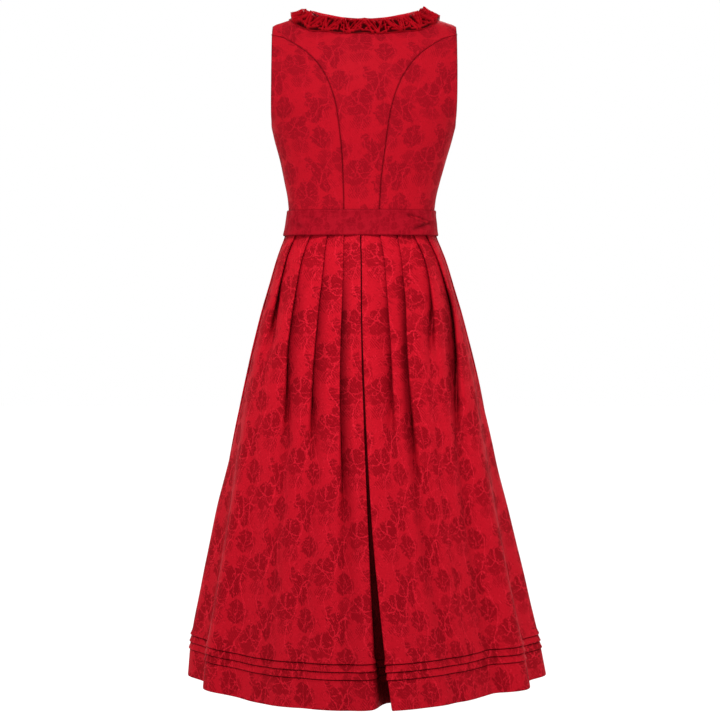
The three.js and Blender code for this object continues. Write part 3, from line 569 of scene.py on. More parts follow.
def damask_group():
    """The woven pattern: how dull the motifs are, and 1 on the fine bright lines."""
    tree = bpy.data.node_groups.new("damask", "ShaderNodeTree")
    for name in ("Across", "Along"):
        tree.interface.new_socket(name, in_out="INPUT", socket_type="NodeSocketFloat")
    for name in ("Motif", "Line"):
        tree.interface.new_socket(name, in_out="OUTPUT", socket_type="NodeSocketFloat")
    start = tree.nodes.new("NodeGroupInput")
    x, y = (Wire(tree, start.outputs[i]) for i in range(2))
    place = tree.nodes.new("ShaderNodeCombineXYZ")
    tree.links.new(x.socket, place.inputs[0])
    tree.links.new(y.socket, place.inputs[1])

    def noise(scale, detail):
        return noise_node(tree, place.outputs[0], scale, detail)

    strokes = (((x + y * HATCH[1]) * (2 * math.pi / HATCH[0])).do("SINE") + 0.5).within()
    for scale, reach in WAVERS:
        split = tree.nodes.new("ShaderNodeSeparateColor")
        tree.links.new(noise(scale, 1).outputs["Color"], split.inputs[0])
        x, y = (at + (Wire(tree, split.outputs[axis]) - 0.5) * reach for axis, at in enumerate((x, y)))
    bodies, lines = [], []
    for motif in MOTIFS:
        dx, dy = local(x, y, motif["at"])
        petals, stroked = (
            [filled(petal(dx, dy, *shape), tone) for *shape, tone in motif[part]]
            for part in ("petals", "strokes")
        )
        bodies += petals + [mask * strokes for mask in stroked]
        for *shape, tone in motif["leaves"]:
            inside, off = leaf(dx, dy, *shape)
            bodies.append(filled(inside, tone))
            if shape[3] > VEIN_FROM_WIDTH:
                lines.append(outline(off, VEIN_THICK) * filled(inside, VEIN_TONE))
        if motif["curves"]:
            bright = either([outline(petal(dx, dy, *shape), CURVE_THICK) for shape in motif["curves"]])
            lines.append(bright * either(petals))
    for column, swing, turn, thick in STEMS:
        bend = (y * (2 * math.pi / DROP) + turn).do("SINE") * swing
        across = ((x - column) * (1 / COLUMN) + 0.5).do("FLOOR")
        off = x - column - across * COLUMN
        flipped = (across * math.pi).do("COSINE") * bend
        lines.append(outline(off - flipped, thick, LINE_CORE))
    cloudy = Wire(tree, noise(*CLOUDS).outputs["Fac"])
    scribble = ((cloudy - 0.5) * 6).within() * strokes * SCRIBBLE
    curls = (Wire(tree, noise(*VINES).outputs["Fac"]) * (CURL_BENDS * math.pi)).do("SINE")
    filigree = outline(curls, CURL_THICK, LINE_CORE) * ((cloudy - 0.42) * 5).within() * FILIGREE
    line = either([*lines, filigree])
    woven = either([*bodies, scribble]) * (-(line * LINE_CUT) + 1)
    woven = woven * (strokes * STROKE_SHARE[0] + STROKE_SHARE[1])
    end = tree.nodes.new("NodeGroupOutput")
    tree.links.new(woven.socket, end.inputs[0])
    tree.links.new(line.socket, end.inputs[1])
    return tree


# Slow changes of tone: scale and detail of the noise, contrast, offset, and how much of them shows.
SLUB = (0.35, 4, 1.6, 0.25, 0.35)
WORN = (0.02, 3, 2, 0.4, 0.18)
# The third tone is painted shade: the near-black red that seams, folds and hollows are darkened towards.
SLUB_TONE, WORN_TONE, PAINTED_SHADE_TONE = 0.72, 0.85, 0.06  # what is left of the cloth's colour there
WARP_PITCH, WEFT_PITCH = 0.00052, 0.00042  # in metres
THREAD_RELIEF, MOTIF_RELIEF = 0.03, 0.12
NUBS = [(0.6, 5, 0.1), (0.09, 3, 0.5)]  # noise in the cloth's relief: scale, detail and height
GLOSS = {
    "Specular IOR Level": 0.015, "Sheen Weight": 0.003, "Sheen Roughness": 0.38,
    "Sheen Tint": (1.0, 0.42, 0.45, 1),
}
BUMP = {"Strength": 0.55, "Distance": 0.0009}


def cloth_material(name, ground, motif, line, scale, strength, rough=(0.5, 0.68), shaded=0.85):
    """Jacquard: a pattern in the weave, its threads, and the cloth's slow unevenness, with painted shade laid
    over them. Rough is the ground's and the motifs' roughness, and shaded how dark a point becomes whose
    painted shade is 1."""
    material = bpy.data.materials.new(name)
    material.use_nodes = True
    tree = material.node_tree
    nodes, links = tree.nodes, tree.links
    shader = nodes["Principled BSDF"]
    place = nodes.new("ShaderNodeUVMap")
    place.uv_map = "cloth"
    in_mm = nodes.new("ShaderNodeVectorMath")
    in_mm.operation = "SCALE"
    in_mm.inputs["Scale"].default_value = scale / MM
    links.new(place.outputs[0], in_mm.inputs[0])
    split = nodes.new("ShaderNodeSeparateXYZ")
    links.new(in_mm.outputs[0], split.inputs[0])
    pattern = nodes.new("ShaderNodeGroup")
    pattern.node_tree = DAMASK
    links.new(split.outputs[0], pattern.inputs[0])
    links.new(split.outputs[1], pattern.inputs[1])
    motif_mask = Wire(tree, pattern.outputs[0]) * strength
    line_mask = Wire(tree, pattern.outputs[1]) * strength

    def noise(scale_per_mm, detail):
        return Wire(tree, noise_node(tree, in_mm.outputs[0], scale_per_mm, detail).outputs["Fac"])

    def patches(scale_per_mm, detail, contrast, offset, share):
        return ((noise(scale_per_mm, detail) - 0.5) * contrast + offset).within() * share

    def mixed(factor, a, b):
        node = nodes.new("ShaderNodeMix")
        node.data_type = "RGBA"
        links.new(factor.socket, node.inputs["Factor"])
        for value, socket in ((a, node.inputs[6]), (b, node.inputs[7])):
            if isinstance(value, tuple):
                socket.default_value = value
            else:
                links.new(value, socket)
        return node.outputs[2]

    base = mixed(motif_mask, ground, motif)
    base = mixed(line_mask, base, line)
    base = mixed(patches(*SLUB), base, darker(motif, SLUB_TONE))
    base = mixed(patches(*WORN), base, darker(ground, WORN_TONE))
    # Painted shade: each point's shade attribute darkens the colour in seams, folds and hollows.
    crease = nodes.new("ShaderNodeAttribute")
    crease.attribute_name = "painted_shade"
    base = mixed(Wire(tree, crease.outputs["Fac"]) * shaded, base, darker(motif, PAINTED_SHADE_TONE))
    links.new(base, shader.inputs["Base Color"])
    roughness = motif_mask * (rough[1] - rough[0]) + rough[0]
    links.new(roughness.socket, shader.inputs["Roughness"])
    for name, value in GLOSS.items():
        shader.inputs[name].default_value = value

    # The threads, warp by weft, and the cloth's nubs. The motifs lie a little lower.
    raw = nodes.new("ShaderNodeSeparateXYZ")
    links.new(place.outputs[0], raw.inputs[0])
    warp = (Wire(tree, raw.outputs[0]) * (2 * math.pi / WARP_PITCH)).do("SINE")
    weft = (Wire(tree, raw.outputs[1]) * (2 * math.pi / WEFT_PITCH)).do("SINE")
    relief = warp * weft * THREAD_RELIEF
    for nub_scale, detail, height in NUBS:
        relief = relief + noise(nub_scale, detail) * height
    relief = relief - motif_mask * MOTIF_RELIEF
    bump = nodes.new("ShaderNodeBump")
    for name, value in BUMP.items():
        bump.inputs[name].default_value = value
    links.new(relief.socket, bump.inputs["Height"])
    links.new(bump.outputs[0], shader.inputs["Normal"])
    return material


DAMASK = damask_group()
# Each cloth: its ground, motifs and fine lines, how much smaller its pattern is and how clear.
CLOTHS = [
    ("red_damask", (176, 23, 37), (122, 14, 24), (206, 33, 49), 1.0, 0.95),
    ("bodice_damask", (167, 22, 35), (118, 16, 27), (180, 26, 41), 1.0, 0.8),
    ("band_jacquard", (149, 20, 34), (118, 13, 25), (166, 25, 40), 2.7, 0.8),
    # The ruche's last two: its roughness, and how dark its painted shade becomes.
    ("ruche_satin", (174, 20, 32), (150, 15, 26), (178, 22, 35), 2.2, 0.5, (0.4, 0.5), 0.96),
]
damask, bodice_damask, band_cloth, ruche_cloth = (
    cloth_material(name, linear(*ground), linear(*motif), linear(*line), *rest)
    for name, ground, motif, line, *rest in CLOTHS
)

# ---------------------------------------------------------------- bodice

soft_body = Ripple(11, 62, 88)
fine_body = Ripple(12, 17, 26)
BODY_ROUND = 120  # about how far round the body a radian is
SOFT_RELIEF, FINE_RELIEF, CLOTH_OUT = 0.9, 0.22, 0.1
RELIEF_SHARE = 0.6
VISIBLE_CLOTH = 0.75  # the visible wall's share of the solid's


def bodice_relief(grid):
    """Slow unevenness of worn cloth, in millimetres outward."""
    u = np.arctan2(grid[..., 0], grid[..., 1] + 1e-6) * BODY_ROUND
    return SOFT_RELIEF * soft_body(u, grid[..., 2]) + FINE_RELIEF * fine_body(u, grid[..., 2])


SEAM_DIP, SEAM_DIP_WIDTH = 0.9, 2.4
# Painted shade along the sewn seams: its darkness and its width.
SEAM_LINE_SHADE, SEAM_LINE_WIDTH = 0.75, 1.3


def bodice_piece(name, grid, edges, lift=0.0, skip=0):
    normals = grid_normals(grid, from_axis(grid))
    distance = seam_distance(grid, edges, skip)
    out = bodice_relief(grid) * RELIEF_SHARE + CLOTH_OUT - bell(SEAM_DIP, distance, SEAM_DIP_WIDTH) + lift
    outer = grid + normals * out[..., None]
    # Painted shade along the seams.
    line = bell(SEAM_LINE_SHADE, distance, SEAM_LINE_WIDTH)
    uv = cloth_uv(grid, normals, CUT_AT[name])
    piece = shell(f"{name}_cloth", outer, normals, uv, BODICE_CLOTH * VISIBLE_CLOTH, bodice_damask, line)
    return declare(piece, "damask", name)


TOP_STEPS = np.linspace(0, 1, 18)[1:]
SHOULDER_TUCK = (3.0, 2.3)  # how far the fronts' shoulder allowance lies under the back, and how deep
TIP_ROUNDED = {"by": 0.036, "from": 0.68}
SEAM_ROWS, FRONT_PANEL_ROWS = 84, 90
BACK_HALF_COLUMNS, SIDE_COLUMNS, FRONT_COLUMNS, CROWDING = 34, 40, 44, 0.6


def rounded_tip(step):
    """The share of its width that a strap keeps where its outer corner is rounded off at the shoulder."""
    return 1 - TIP_ROUNDED["by"] * ramp(TIP_ROUNDED["from"], 1, step) ** 2


def back_panel():
    half = crowded(BACK_HALF_COLUMNS, CROWDING) / 2 + 0.5
    shares = np.concatenate([-(half[1:] * 2 - 1)[::-1], half * 2 - 1])
    z, x = back_seam_line[:, :1], back_seam_line[:, 1:]
    rows = [on_form(shares * (x - HALF_GAP), z + 0 * shares, BACK)]
    last_z, last_x = BACK_SEAM[-1]
    for step in TOP_STEPS:
        at = shares * lerp(last_x - HALF_GAP, SHOULDER_TIP_X, step) * rounded_tip(step)
        low = cloth_length(at, last_z, BACK)
        neck = cloth_length(at, back_neck_z(np.abs(at)), BACK)
        top = np.where(np.abs(at) < NECK_SIDE_X, np.maximum(neck, HALF_GAP), HALF_GAP)
        rows.append(down_form(at, lerp(low, top, step), BACK)[None])
    return np.concatenate(rows)


ALLOWANCE = [(-8, -2.3), (-6.5, -2.3), (-3, -2.1), (-0.7, -1.3)]  # how far under the next panel, how deep


def side_panel(seam, side, hand):
    """A side panel from its seam allowance, under the next panel, to the side seam or the armhole."""
    z, x = seam[:, :1], seam[:, 1:2]
    under = turn_at(x + np.array([[d for d, _ in ALLOWANCE]]), z)
    inner = turn_at(x + HALF_GAP, z)
    outer = np.minimum(np.pi / 2, turn_at(ARMHOLE_X, z))
    turns = np.concatenate([under, lerp(inner, outer, crowded(SIDE_COLUMNS, CROWDING)[None])], 1)
    return round_form(hand * turns, z + 0 * turns, side)


front_seam_line = spaced([row[:2] for row in FRONT_ROWS[:FRONT_SEAM_ROWS]], SEAM_ROWS)
back_seam_line = spaced(BACK_SEAM, SEAM_ROWS)


def front_panel(hand):
    lap = OVERLAP["under"] if hand == 1 else -OVERLAP["over"]
    rows = [
        (sz, sx if sx == ARMHOLE_X else sx - HALF_GAP, iz, lap if ix is None else ix)
        for sz, sx, iz, ix in FRONT_ROWS
    ]
    fine = spaced(rows, FRONT_PANEL_ROWS)
    share = crowded(FRONT_COLUMNS, CROWDING)[None]
    seam_z, seam_x, inner_z, inner_x = (fine[:, i : i + 1] for i in range(4))
    x = hand * lerp(inner_x, seam_x, share)
    z = lerp(inner_z, seam_z, share)
    grids = [on_form(x, z, FRONT)]
    top = FRONT_ROWS[-1]
    for step in TOP_STEPS:
        outer = lerp(top[1], SHOULDER_TIP_X, step) * rounded_tip(step)
        at = hand * lerp(lerp(top[3], NECK_SIDE_X, step), outer, share[0])
        low = cloth_length(at, lerp(top[2], top[0], share[0]), FRONT)
        grids.append(down_form(at, lerp(low, HALF_GAP, step), FRONT)[None])
    over, deep = SHOULDER_TUCK
    tucked = down_form(at, over, BACK) - normal_down(at, np.full(at.shape, over), BACK) * deep
    return np.concatenate([*grids, tucked[None]])


# Where on the cloth each panel is cut.
CUT_AT = {
    "bodice_back": (8, 36), "bodice_side_back_left": (231, 12), "bodice_side_back_right": (398, 71),
    "bodice_side_front_left": (522, 48), "bodice_side_front_right": (668, 96),
    "bodice_front_left": (818, 20), "bodice_front_right": (975, 82),
}
SIDES = ("left", "right", "bottom")
HANDS = ((1, "left"), (-1, "right"))
bodice = [bodice_piece("bodice_back", back_panel(), (*SIDES, "top"))]
side_lift = np.array([deep for _, deep in ALLOWANCE] + [0] * SIDE_COLUMNS)
for hand, name in HANDS:
    for seam, side, place in ((back_seam_line, BACK, "back"), (front_seam_line, FRONT, "front")):
        panel = side_panel(seam, side, hand)
        bodice.append(bodice_piece(f"bodice_side_{place}_{name}", panel, SIDES, side_lift, len(ALLOWANCE)))
for hand, name in HANDS:
    panel = front_panel(hand)
    lift = lap_lift(panel[..., 0]) if hand == -1 else 0.0
    edges = SIDES if hand == -1 else SIDES[1:]
    bodice.append(bodice_piece(f"bodice_front_{name}", panel, edges, lift))

# ---------------------------------------------------------------- waistband

BAND = {"top_out": 3.2, "bottom_out": 1.2, "lift_from": 0.9 * np.pi, "lift_by": 0.96 * np.pi, "shorter": 2}
BAND_RELIEF = [(0.55, Ripple(21, 34, 21), 0.6), (0.25, Ripple(22, 11, 9), 0)]  # height, noise and its lean
# Its dark pair is painted shade along the band's rolled edges, with its width.
BAND_EDGE = {"rolled": (0.9, 1.3), "dark": (0.5, 0.9), "calm": 5}  # roll and shade with their widths
# Creases of the band: two ends as (x, z) behind the waist, half width and depth.
BAND_CREASES = [
    ((-74, -340), (-128, -356), 2.8, 3.6), ((-88, -367), (-124, -353), 3.0, 3.4),
    ((98, -344), (72, -352), 3.0, 1.3), ((122, -352), (94, -366), 4.0, 1.5),
    ((30, -352), (8, -357), 3, 0.8),
]
BAND_RISE = 2.7  # how much higher the band lies at the sides and in front than behind
# How dark the painted shade in the band's creases gets for each millimetre of their depth.
CREASE_SHADE = 0.2


def crease(x, z, start, end, width, depth):
    """How far a crease between two points sinks the cloth, dying away at both of its ends."""
    (ax, az), (bx, bz) = start, end
    length2 = (bx - ax) ** 2 + (bz - az) ** 2
    t = np.clip(((x - ax) * (bx - ax) + (z - az) * (bz - az)) / length2, 0, 1)
    distance = np.hypot(x - lerp(ax, bx, t), z - lerp(az, bz, t))
    return bell(depth * np.sin(np.pi * np.clip(t, 0.02, 0.98)) ** 0.6, distance, width)


def waistband():
    end_turn = math.asin(OVERLAP["over"] / float(form_half(BAND_TOP_Z)))
    half = float(form_half(BAND_TOP_Z))
    turn = np.linspace(-np.pi - end_turn + SEAM_GAP / half, np.pi - end_turn, 520)[None]
    share = crowded(26, 0.9)[:, None]
    bottom = BAND_BOTTOM_Z + BAND["shorter"]
    z = lerp(BAND_TOP_Z, bottom, share) + BAND_RISE * np.minimum(1, 1 - np.cos(turn))
    power = 2 / FORM_SQUARENESS
    s, c = np.sin(turn), np.cos(turn)
    behind = c > 0
    lift = OVER_LIFT * ramp(BAND["lift_from"], BAND["lift_by"], np.abs(turn))
    out = lift + lerp(BAND["top_out"], BAND["bottom_out"], share)
    bust = BUST["rise"] * np.exp(-((BUST["x"] / BUST["spread_x"]) ** 2))
    bust = bust * np.exp(-(((z - BUST["z"]) / BUST["spread_z"]) ** 2))
    depth = np.where(behind, form_back(z), form_front(z) + bust)
    x = (form_half(z) + out) * np.sign(s) * np.abs(s) ** power
    y = (depth + out) * np.sign(c) * np.abs(c) ** power
    grid = np.stack(np.broadcast_arrays(x, y, z), -1)
    normals = grid_normals(grid, from_axis(grid))
    u = turn * half + 0 * z
    relief = sum(height * noise(u + lean * z, z) for height, noise, lean in BAND_RELIEF)
    sunk = np.where(behind, sum(crease(grid[..., 0], grid[..., 2], *row) for row in BAND_CREASES), 0)
    edge = np.minimum(share, 1 - share) * (BAND_TOP_Z - BAND_BOTTOM_Z)
    (rolled, rolled_width), (dark, dark_width) = BAND_EDGE["rolled"], BAND_EDGE["dark"]
    out = (relief - sunk) * np.clip(edge / BAND_EDGE["calm"], 0.15, 1) - bell(rolled, edge, rolled_width)
    outer = grid + normals * out[..., None]
    # Painted shade in the creases and along both edges.
    shade = np.maximum(CREASE_SHADE * sunk, bell(dark, edge, dark_width))
    piece = shell("waistband_cloth", outer, normals, cloth_uv(grid, normals), BODICE_CLOTH, band_cloth, shade)
    return declare(piece, "band", "waistband")


band = waistband()

# ---------------------------------------------------------------- skirt

skirt_half = Curve([
    (-1152, 322), (-1087, 312.4), (-998, 293), (-909, 273.5), (-820, 253.3), (-731, 233.6),
    (-642, 212.3), (-553, 190), (-508, 178.3), (-464, 165.3), (-419, 152), (-386, 139.5),
    (-379, 136.6), (-356, 132),
])
SKIRT_DEPTH = {"waist_half": 138, "back": 96, "front": 101, "back_growth": 1.05, "front_growth": 1.0}
# Each pleat: between which heights it opens out, how deep a valley it leaves, and where its edge runs,
# by height, as a share of the way from the centre back to the centre front.
FRONT_PLEATS = [
    (-600, -880, 10, [(-356, 0.6), (-848, 0.595), (-1152, 0.59)]),
    (-550, -850, 10, [(-356, 0.685), (-848, 0.68), (-1152, 0.675)]),
    (-580, -880, 10, [(-356, 0.768), (-848, 0.765), (-1152, 0.765)]),
    (-600, -880, 9, [(-356, 0.85), (-1152, 0.85)]),
    (-620, -900, 12, [(-356, 0.932), (-848, 0.93), (-1152, 0.93)]),
]
LEFT_PLEATS = [
    (-620, -900, 16, [
        (-356, 0.082), (-490, 0.069), (-626, 0.067), (-790, 0.062), (-885, 0.065), (-980, 0.071),
        (-1152, 0.079),
    ]),
    (-560, -800, 9, [
        (-356, 0.163), (-490, 0.152), (-626, 0.149), (-760, 0.1455), (-890, 0.15), (-1152, 0.158),
    ]),
    (-540, -790, 10, [
        (-356, 0.243), (-425, 0.262), (-491, 0.256), (-560, 0.248), (-694, 0.229), (-826, 0.229),
        (-1152, 0.247),
    ]),
    (-440, -620, 3, [
        (-356, 0.338), (-420, 0.358), (-491, 0.357), (-561, 0.354), (-848, 0.33), (-1152, 0.33),
    ]),
    (-300, -340, 2, [(-356, 0.43), (-848, 0.415), (-1152, 0.41)]),
    (-560, -860, 7, [(-356, 0.515), (-848, 0.505), (-1152, 0.5)]),
    *FRONT_PLEATS,
]
RIGHT_PLEATS = [
    (-520, -780, 5, [
        (-356, 0.09), (-423, 0.097), (-492, 0.094), (-559, 0.091), (-626, 0.085), (-692, 0.079),
        (-1152, 0.075),
    ]),
    (-580, -840, 15, [
        (-356, 0.182), (-423, 0.17), (-492, 0.16), (-559, 0.145), (-626, 0.136), (-823, 0.131),
        (-1152, 0.148),
    ]),
    (-440, -640, 5, [
        (-356, 0.257), (-425, 0.285), (-491, 0.276), (-560, 0.254), (-700, 0.224), (-848, 0.205),
        (-1152, 0.21),
    ]),
    (-540, -790, 13, [
        (-356, 0.343), (-425, 0.371), (-491, 0.384), (-561, 0.352), (-640, 0.318), (-763, 0.285),
        (-1152, 0.27),
    ]),
    (-300, -340, 5, [(-356, 0.45), (-848, 0.425), (-1152, 0.41)]),
    (-560, -860, 9, [(-356, 0.515), (-848, 0.505), (-1152, 0.5)]),
    *FRONT_PLEATS,
]
VALLEY_AT_HEM = 0.3
DEEPEST_VALLEY = 15
# Painted shade in the pleats' folds and under their edges, set by the next three lines.
SHADE, SHADE_OPENED = 0.7, 0.15  # the darkness deep in a pressed fold, and what is left of it in an open one
SHADED_BETWEEN = (-390, -540)  # the heights between which that darkness comes in
LINE_SHADE = 0.75  # the darkness under a pressed pleat's edge
SEAM_PLEAT = 3
PLEAT_UNDERLAY = 25
UNDERLAY_LIMIT = 0.8
LAYER_PITCH = 2.1
LAYERS_SPREAD = (2.3, -380, -560)  # how much further apart the pleats' layers hang, and between which heights
FOLD_DROP = 10
CENTRE_LAYER_DEPTH = 0.85
# A pleat from under the next one out to its edge. While pressed: the share of its underlay, the layer it
# lies in, and how far it sinks as it opens. Once open: its place, and the share of the valley's depth.
PLEAT_POINTS = [
    (1, 2, 1.25, -0.3, 0.6), (1, 1, 0.75, -0.17, 1), (0, 1, 0.3, -0.07, 0.8), (0, 0, 0, 0.05, 0.1),
]
# Two points of the panel beside it: place while pressed and once open, layer, and how far it sinks.
PANEL_POINTS = [(0.45, 0.35, 0.9, 0), (0.9, 0.6, 1.8, 0.35)]
# The hem's slow waves: how far out they stand, by share of the way from the centre back to the front.
hem_fold = Curve([
    (-0.03, 0), (0.03, 2), (0.1, -6), (0.16, -18), (0.21, -27), (0.27, -33), (0.345, -5),
    (0.405, -27), (0.475, 0), (0.55, -22), (0.62, -6), (0.7, -24), (0.79, -8), (0.87, -20),
    (0.945, -4), (1, 2),
])
FOLDS_FROM_Z = -560
# The inverted centre pleat by height: how far its middle drifts aside, how far each edge stands from it,
# how deep it is, how far its edges turn in, and how far its left edge is rolled open.
CENTRE = dict(zip(("drift", "gap", "depth", "edge", "roll"), curves([
    (-1152, 38, 2.5, 52, 7, 1), (-1000, 24, 2.5, 32, 5, 0.45), (-848, 12, 2.4, 17, 3.5, 0.1),
    (-670, 4, 2.1, 7.5, 2.4, 0), (-491, 0, 1.3, 4.4, 2.1, 0), (-356, 0, 1.2, 4.2, 2.1, 0),
])))
# The rolled edge's shade is painted shade.
ROLLED_EDGE = [(3, 0.95, 1), (9, 0.8, 0.9), (15, 0.5, 0.5), (22, 0.24, 0)]  # out along the rim, depth, shade
ROLLED_PANEL = (0.1, 0.03)  # how far the panel beside the rolled edge follows its depth
DRIFT_REACH = 0.3

pleats = {
    hand: [(*row, Curve(edge)) for *row, edge in table]
    for hand, table in ((1, LEFT_PLEATS), (-1, RIGHT_PLEATS))
}


def centre_at(z, name):
    return float(CENTRE[name](z))


def oval(z):
    """The skirt's plain outline at one height: its half width, its depths, and lengths along its rim."""
    half = float(skirt_half(z))
    grown = half - SKIRT_DEPTH["waist_half"]
    back = SKIRT_DEPTH["back"] + grown * SKIRT_DEPTH["back_growth"]
    front = SKIRT_DEPTH["front"] + grown * SKIRT_DEPTH["front_growth"]
    turns = np.linspace(0, np.pi, 721)
    depth = np.where(np.cos(turns) > 0, back, front)
    lengths = lengths_along(np.stack([half * np.sin(turns), depth * np.cos(turns)], -1))
    return {
        "half": half, "back": back, "front": front,
        "turns": turns, "lengths": lengths, "rim": lengths[-1],
    }


def on_oval(ring, s, n):
    """Points at lengths s along the rim from the centre back, n out from it."""
    over = np.abs(s) > ring["rim"]
    hand = np.where(over, -1, 1) * np.where(s < 0, -1, 1)
    turn = np.interp(np.where(over, 2 * ring["rim"] - np.abs(s), np.abs(s)), ring["lengths"], ring["turns"])
    depth = np.where(np.cos(turn) > 0, ring["back"], ring["front"])
    x, y = ring["half"] * np.sin(turn), depth * np.cos(turn)
    normal = unit(np.stack([np.sin(turn) / ring["half"], np.cos(turn) / depth], -1))
    return np.stack([hand * (x + normal[:, 0] * n), y + normal[:, 1] * n], -1)


def pleat_lines(z, hand, rim):
    """Each pleat's place, how far it is opened, its valley's depth, and how dark the painted shade in its
    fold is.
    """
    lines = [(centre_at(z, "gap"), 0.0, 0.0, 0.0)]
    for opens_z, open_z, valley, edge in pleats[hand]:
        opened = float(ramp(opens_z, open_z, z))
        fading = lerp(1, VALLEY_AT_HEM, float(ramp(open_z, HEM_Z, z)))
        deep = valley / DEEPEST_VALLEY * float(ramp(*SHADED_BETWEEN, z)) * lerp(1, SHADE_OPENED, opened)
        lines.append((float(edge(z)) * rim, opened, fading * valley, SHADE * deep))
    return lines


def centre_edge(z, hand, under, tilt):
    """An edge of the centre pleat: pressed, or on the left rolled open towards the hem."""
    gap, depth, edge = (centre_at(z, name) for name in ("gap", "depth", "edge"))
    roll = centre_at(z, "roll") if hand == 1 else 0
    inner = min(depth - LAYER_PITCH, max(LAYER_PITCH, depth * CENTRE_LAYER_DEPTH))
    # The third number of each pressed point is its painted shade inside the centre pleat.
    pressed = [(under, -depth - tilt, 1), (under, -inner - tilt, 1), (0, -edge, 0.9), (0, 0, 0)]
    return [
        (gap + lerp(s, out, roll), lerp(n, -depth * deep, roll), roll, lerp(shade, rolled_shade, roll))
        for (s, n, shade), (out, deep, rolled_shade) in zip(pressed, ROLLED_EDGE)
    ]


def fold_drop(opened):
    """How far a fold sinks while it opens: most when it is half open."""
    return FOLD_DROP * 4 * opened * (1 - opened)


def half_ring(z, hand, rim):
    """One side of the skirt at one height, from the centre back on: s, n, how far opened, and how dark its
    painted shade is.
    """
    lines = pleat_lines(z, hand, rim)
    roll = centre_at(z, "roll") if hand == 1 else 0
    depth = centre_at(z, "depth")
    spread, spread_from, spread_by = LAYERS_SPREAD
    pitch = LAYER_PITCH * lerp(1, spread, float(ramp(spread_from, spread_by, z)))
    points = []
    for k, (at, opened, valley, shade) in enumerate(lines):
        last = k == len(lines) - 1
        before = at - lines[k - 1][0] if k else 0
        after = (rim if last else lines[k + 1][0]) - at
        under = min(PLEAT_UNDERLAY, after * UNDERLAY_LIMIT)
        tilt = 2 * pitch * under / after
        if k == 0:
            points += centre_edge(z, hand, under, tilt)
        else:
            for share, layer, drop, place, deep in PLEAT_POINTS:
                beside = place * (before if place < 0 else after)
                s = at + lerp(share * under, beside, opened)
                n = lerp(layer * pitch + share * tilt, deep * valley, opened)
                # Painted shade under a pressed pleat's edge and deep in its fold.
                dark = max(shade, LINE_SHADE * (1 - opened)) if layer else 0.0
                points.append((s, -n - fold_drop(opened) * drop, opened, dark))
        if last:
            points.append((at + after / 2, 0, opened, 0.0))
            continue
        _, next_open, _, next_shade = lines[k + 1]
        # The panel darkens with painted shade towards the next pleat's edge.
        for i, (pressed, place, layer, drop) in enumerate(PANEL_POINTS):
            here = max(next_open, roll if k == 0 else opened)
            rolled = roll * depth * ROLLED_PANEL[i] if k == 0 else 0
            n = layer * pitch * (1 - next_open) + drop * fold_drop(next_open) + rolled
            points.append((at + lerp(pressed, place, here) * after, -n, here, next_shade * i))
    return np.array(points)


# Where samples lie on each stretch between a pleat's points: lower fold, underlay, edge, then the panel.
SAMPLES = [
    (0, 0.5), (0, 0.06, 0.35, 0.7, 0.94), (0, 0.35, 0.7),
    (0, 0.05, 0.16, 0.36, 0.68), (0, 0.25, 0.5, 0.75), (0, 0.22, 0.42, 0.6, 0.9),
]
SEAM_AT = SEAM_PLEAT * len(SAMPLES)
SEAM_SHARE = 0.6  # the sample on which the side seam lies
FRONT_SAMPLES = (0, 0.25, 0.5, 0.75)


def sampled_side(points, rim):
    """A side's samples, out to the centre front, which of them lies on the seam, and which in mid panel."""
    run = np.concatenate([points, [(rim, 0, points[-1, 2], 0)]])
    out, seam, middles = [], 0, []
    for j in range(len(run) - 1):
        shares = SAMPLES[j % len(SAMPLES)] if j < len(run) - 2 else FRONT_SAMPLES
        if j == SEAM_AT - 1:
            seam = len(out) + shares.index(SEAM_SHARE)
        if j % len(SAMPLES) == len(PLEAT_POINTS):
            middles.append(len(out))
        out += [lerp(run[j], run[j + 1], t) for t in shares]
    return np.array(out), seam, middles


drape, DRAPE = Ripple(31, 47, 260), 2.0
small_drape, SMALL_DRAPE = Ripple(32, 19, 120), 0.7
DRAPE_FREE = (-385, -620)  # between these heights the cloth comes free of the waist
PRESSED_DRAPE = 0.35  # how much of the unevenness a pressed panel shows
PRESSED_SOFTNESS, OPENED_SOFTNESS, FRONT_SOFTNESS = 0.9, 9.0, 4


def softened(ring, softness):
    """Rounds a closed run of plan points, each over its own length."""
    step = np.linalg.norm(np.diff(ring, axis=0, append=ring[:1]), axis=1)
    at = np.concatenate([[0], np.cumsum(step)[:-1]])
    total = step.sum()
    apart = np.abs(at[:, None] - at[None])
    apart = np.minimum(apart, total - apart)
    share = (step + np.roll(step, 1)) / 2
    weight = np.exp(-((apart / softness[:, None]) ** 2) / 2) * share[None]
    return (weight @ ring) / weight.sum(1, keepdims=True)


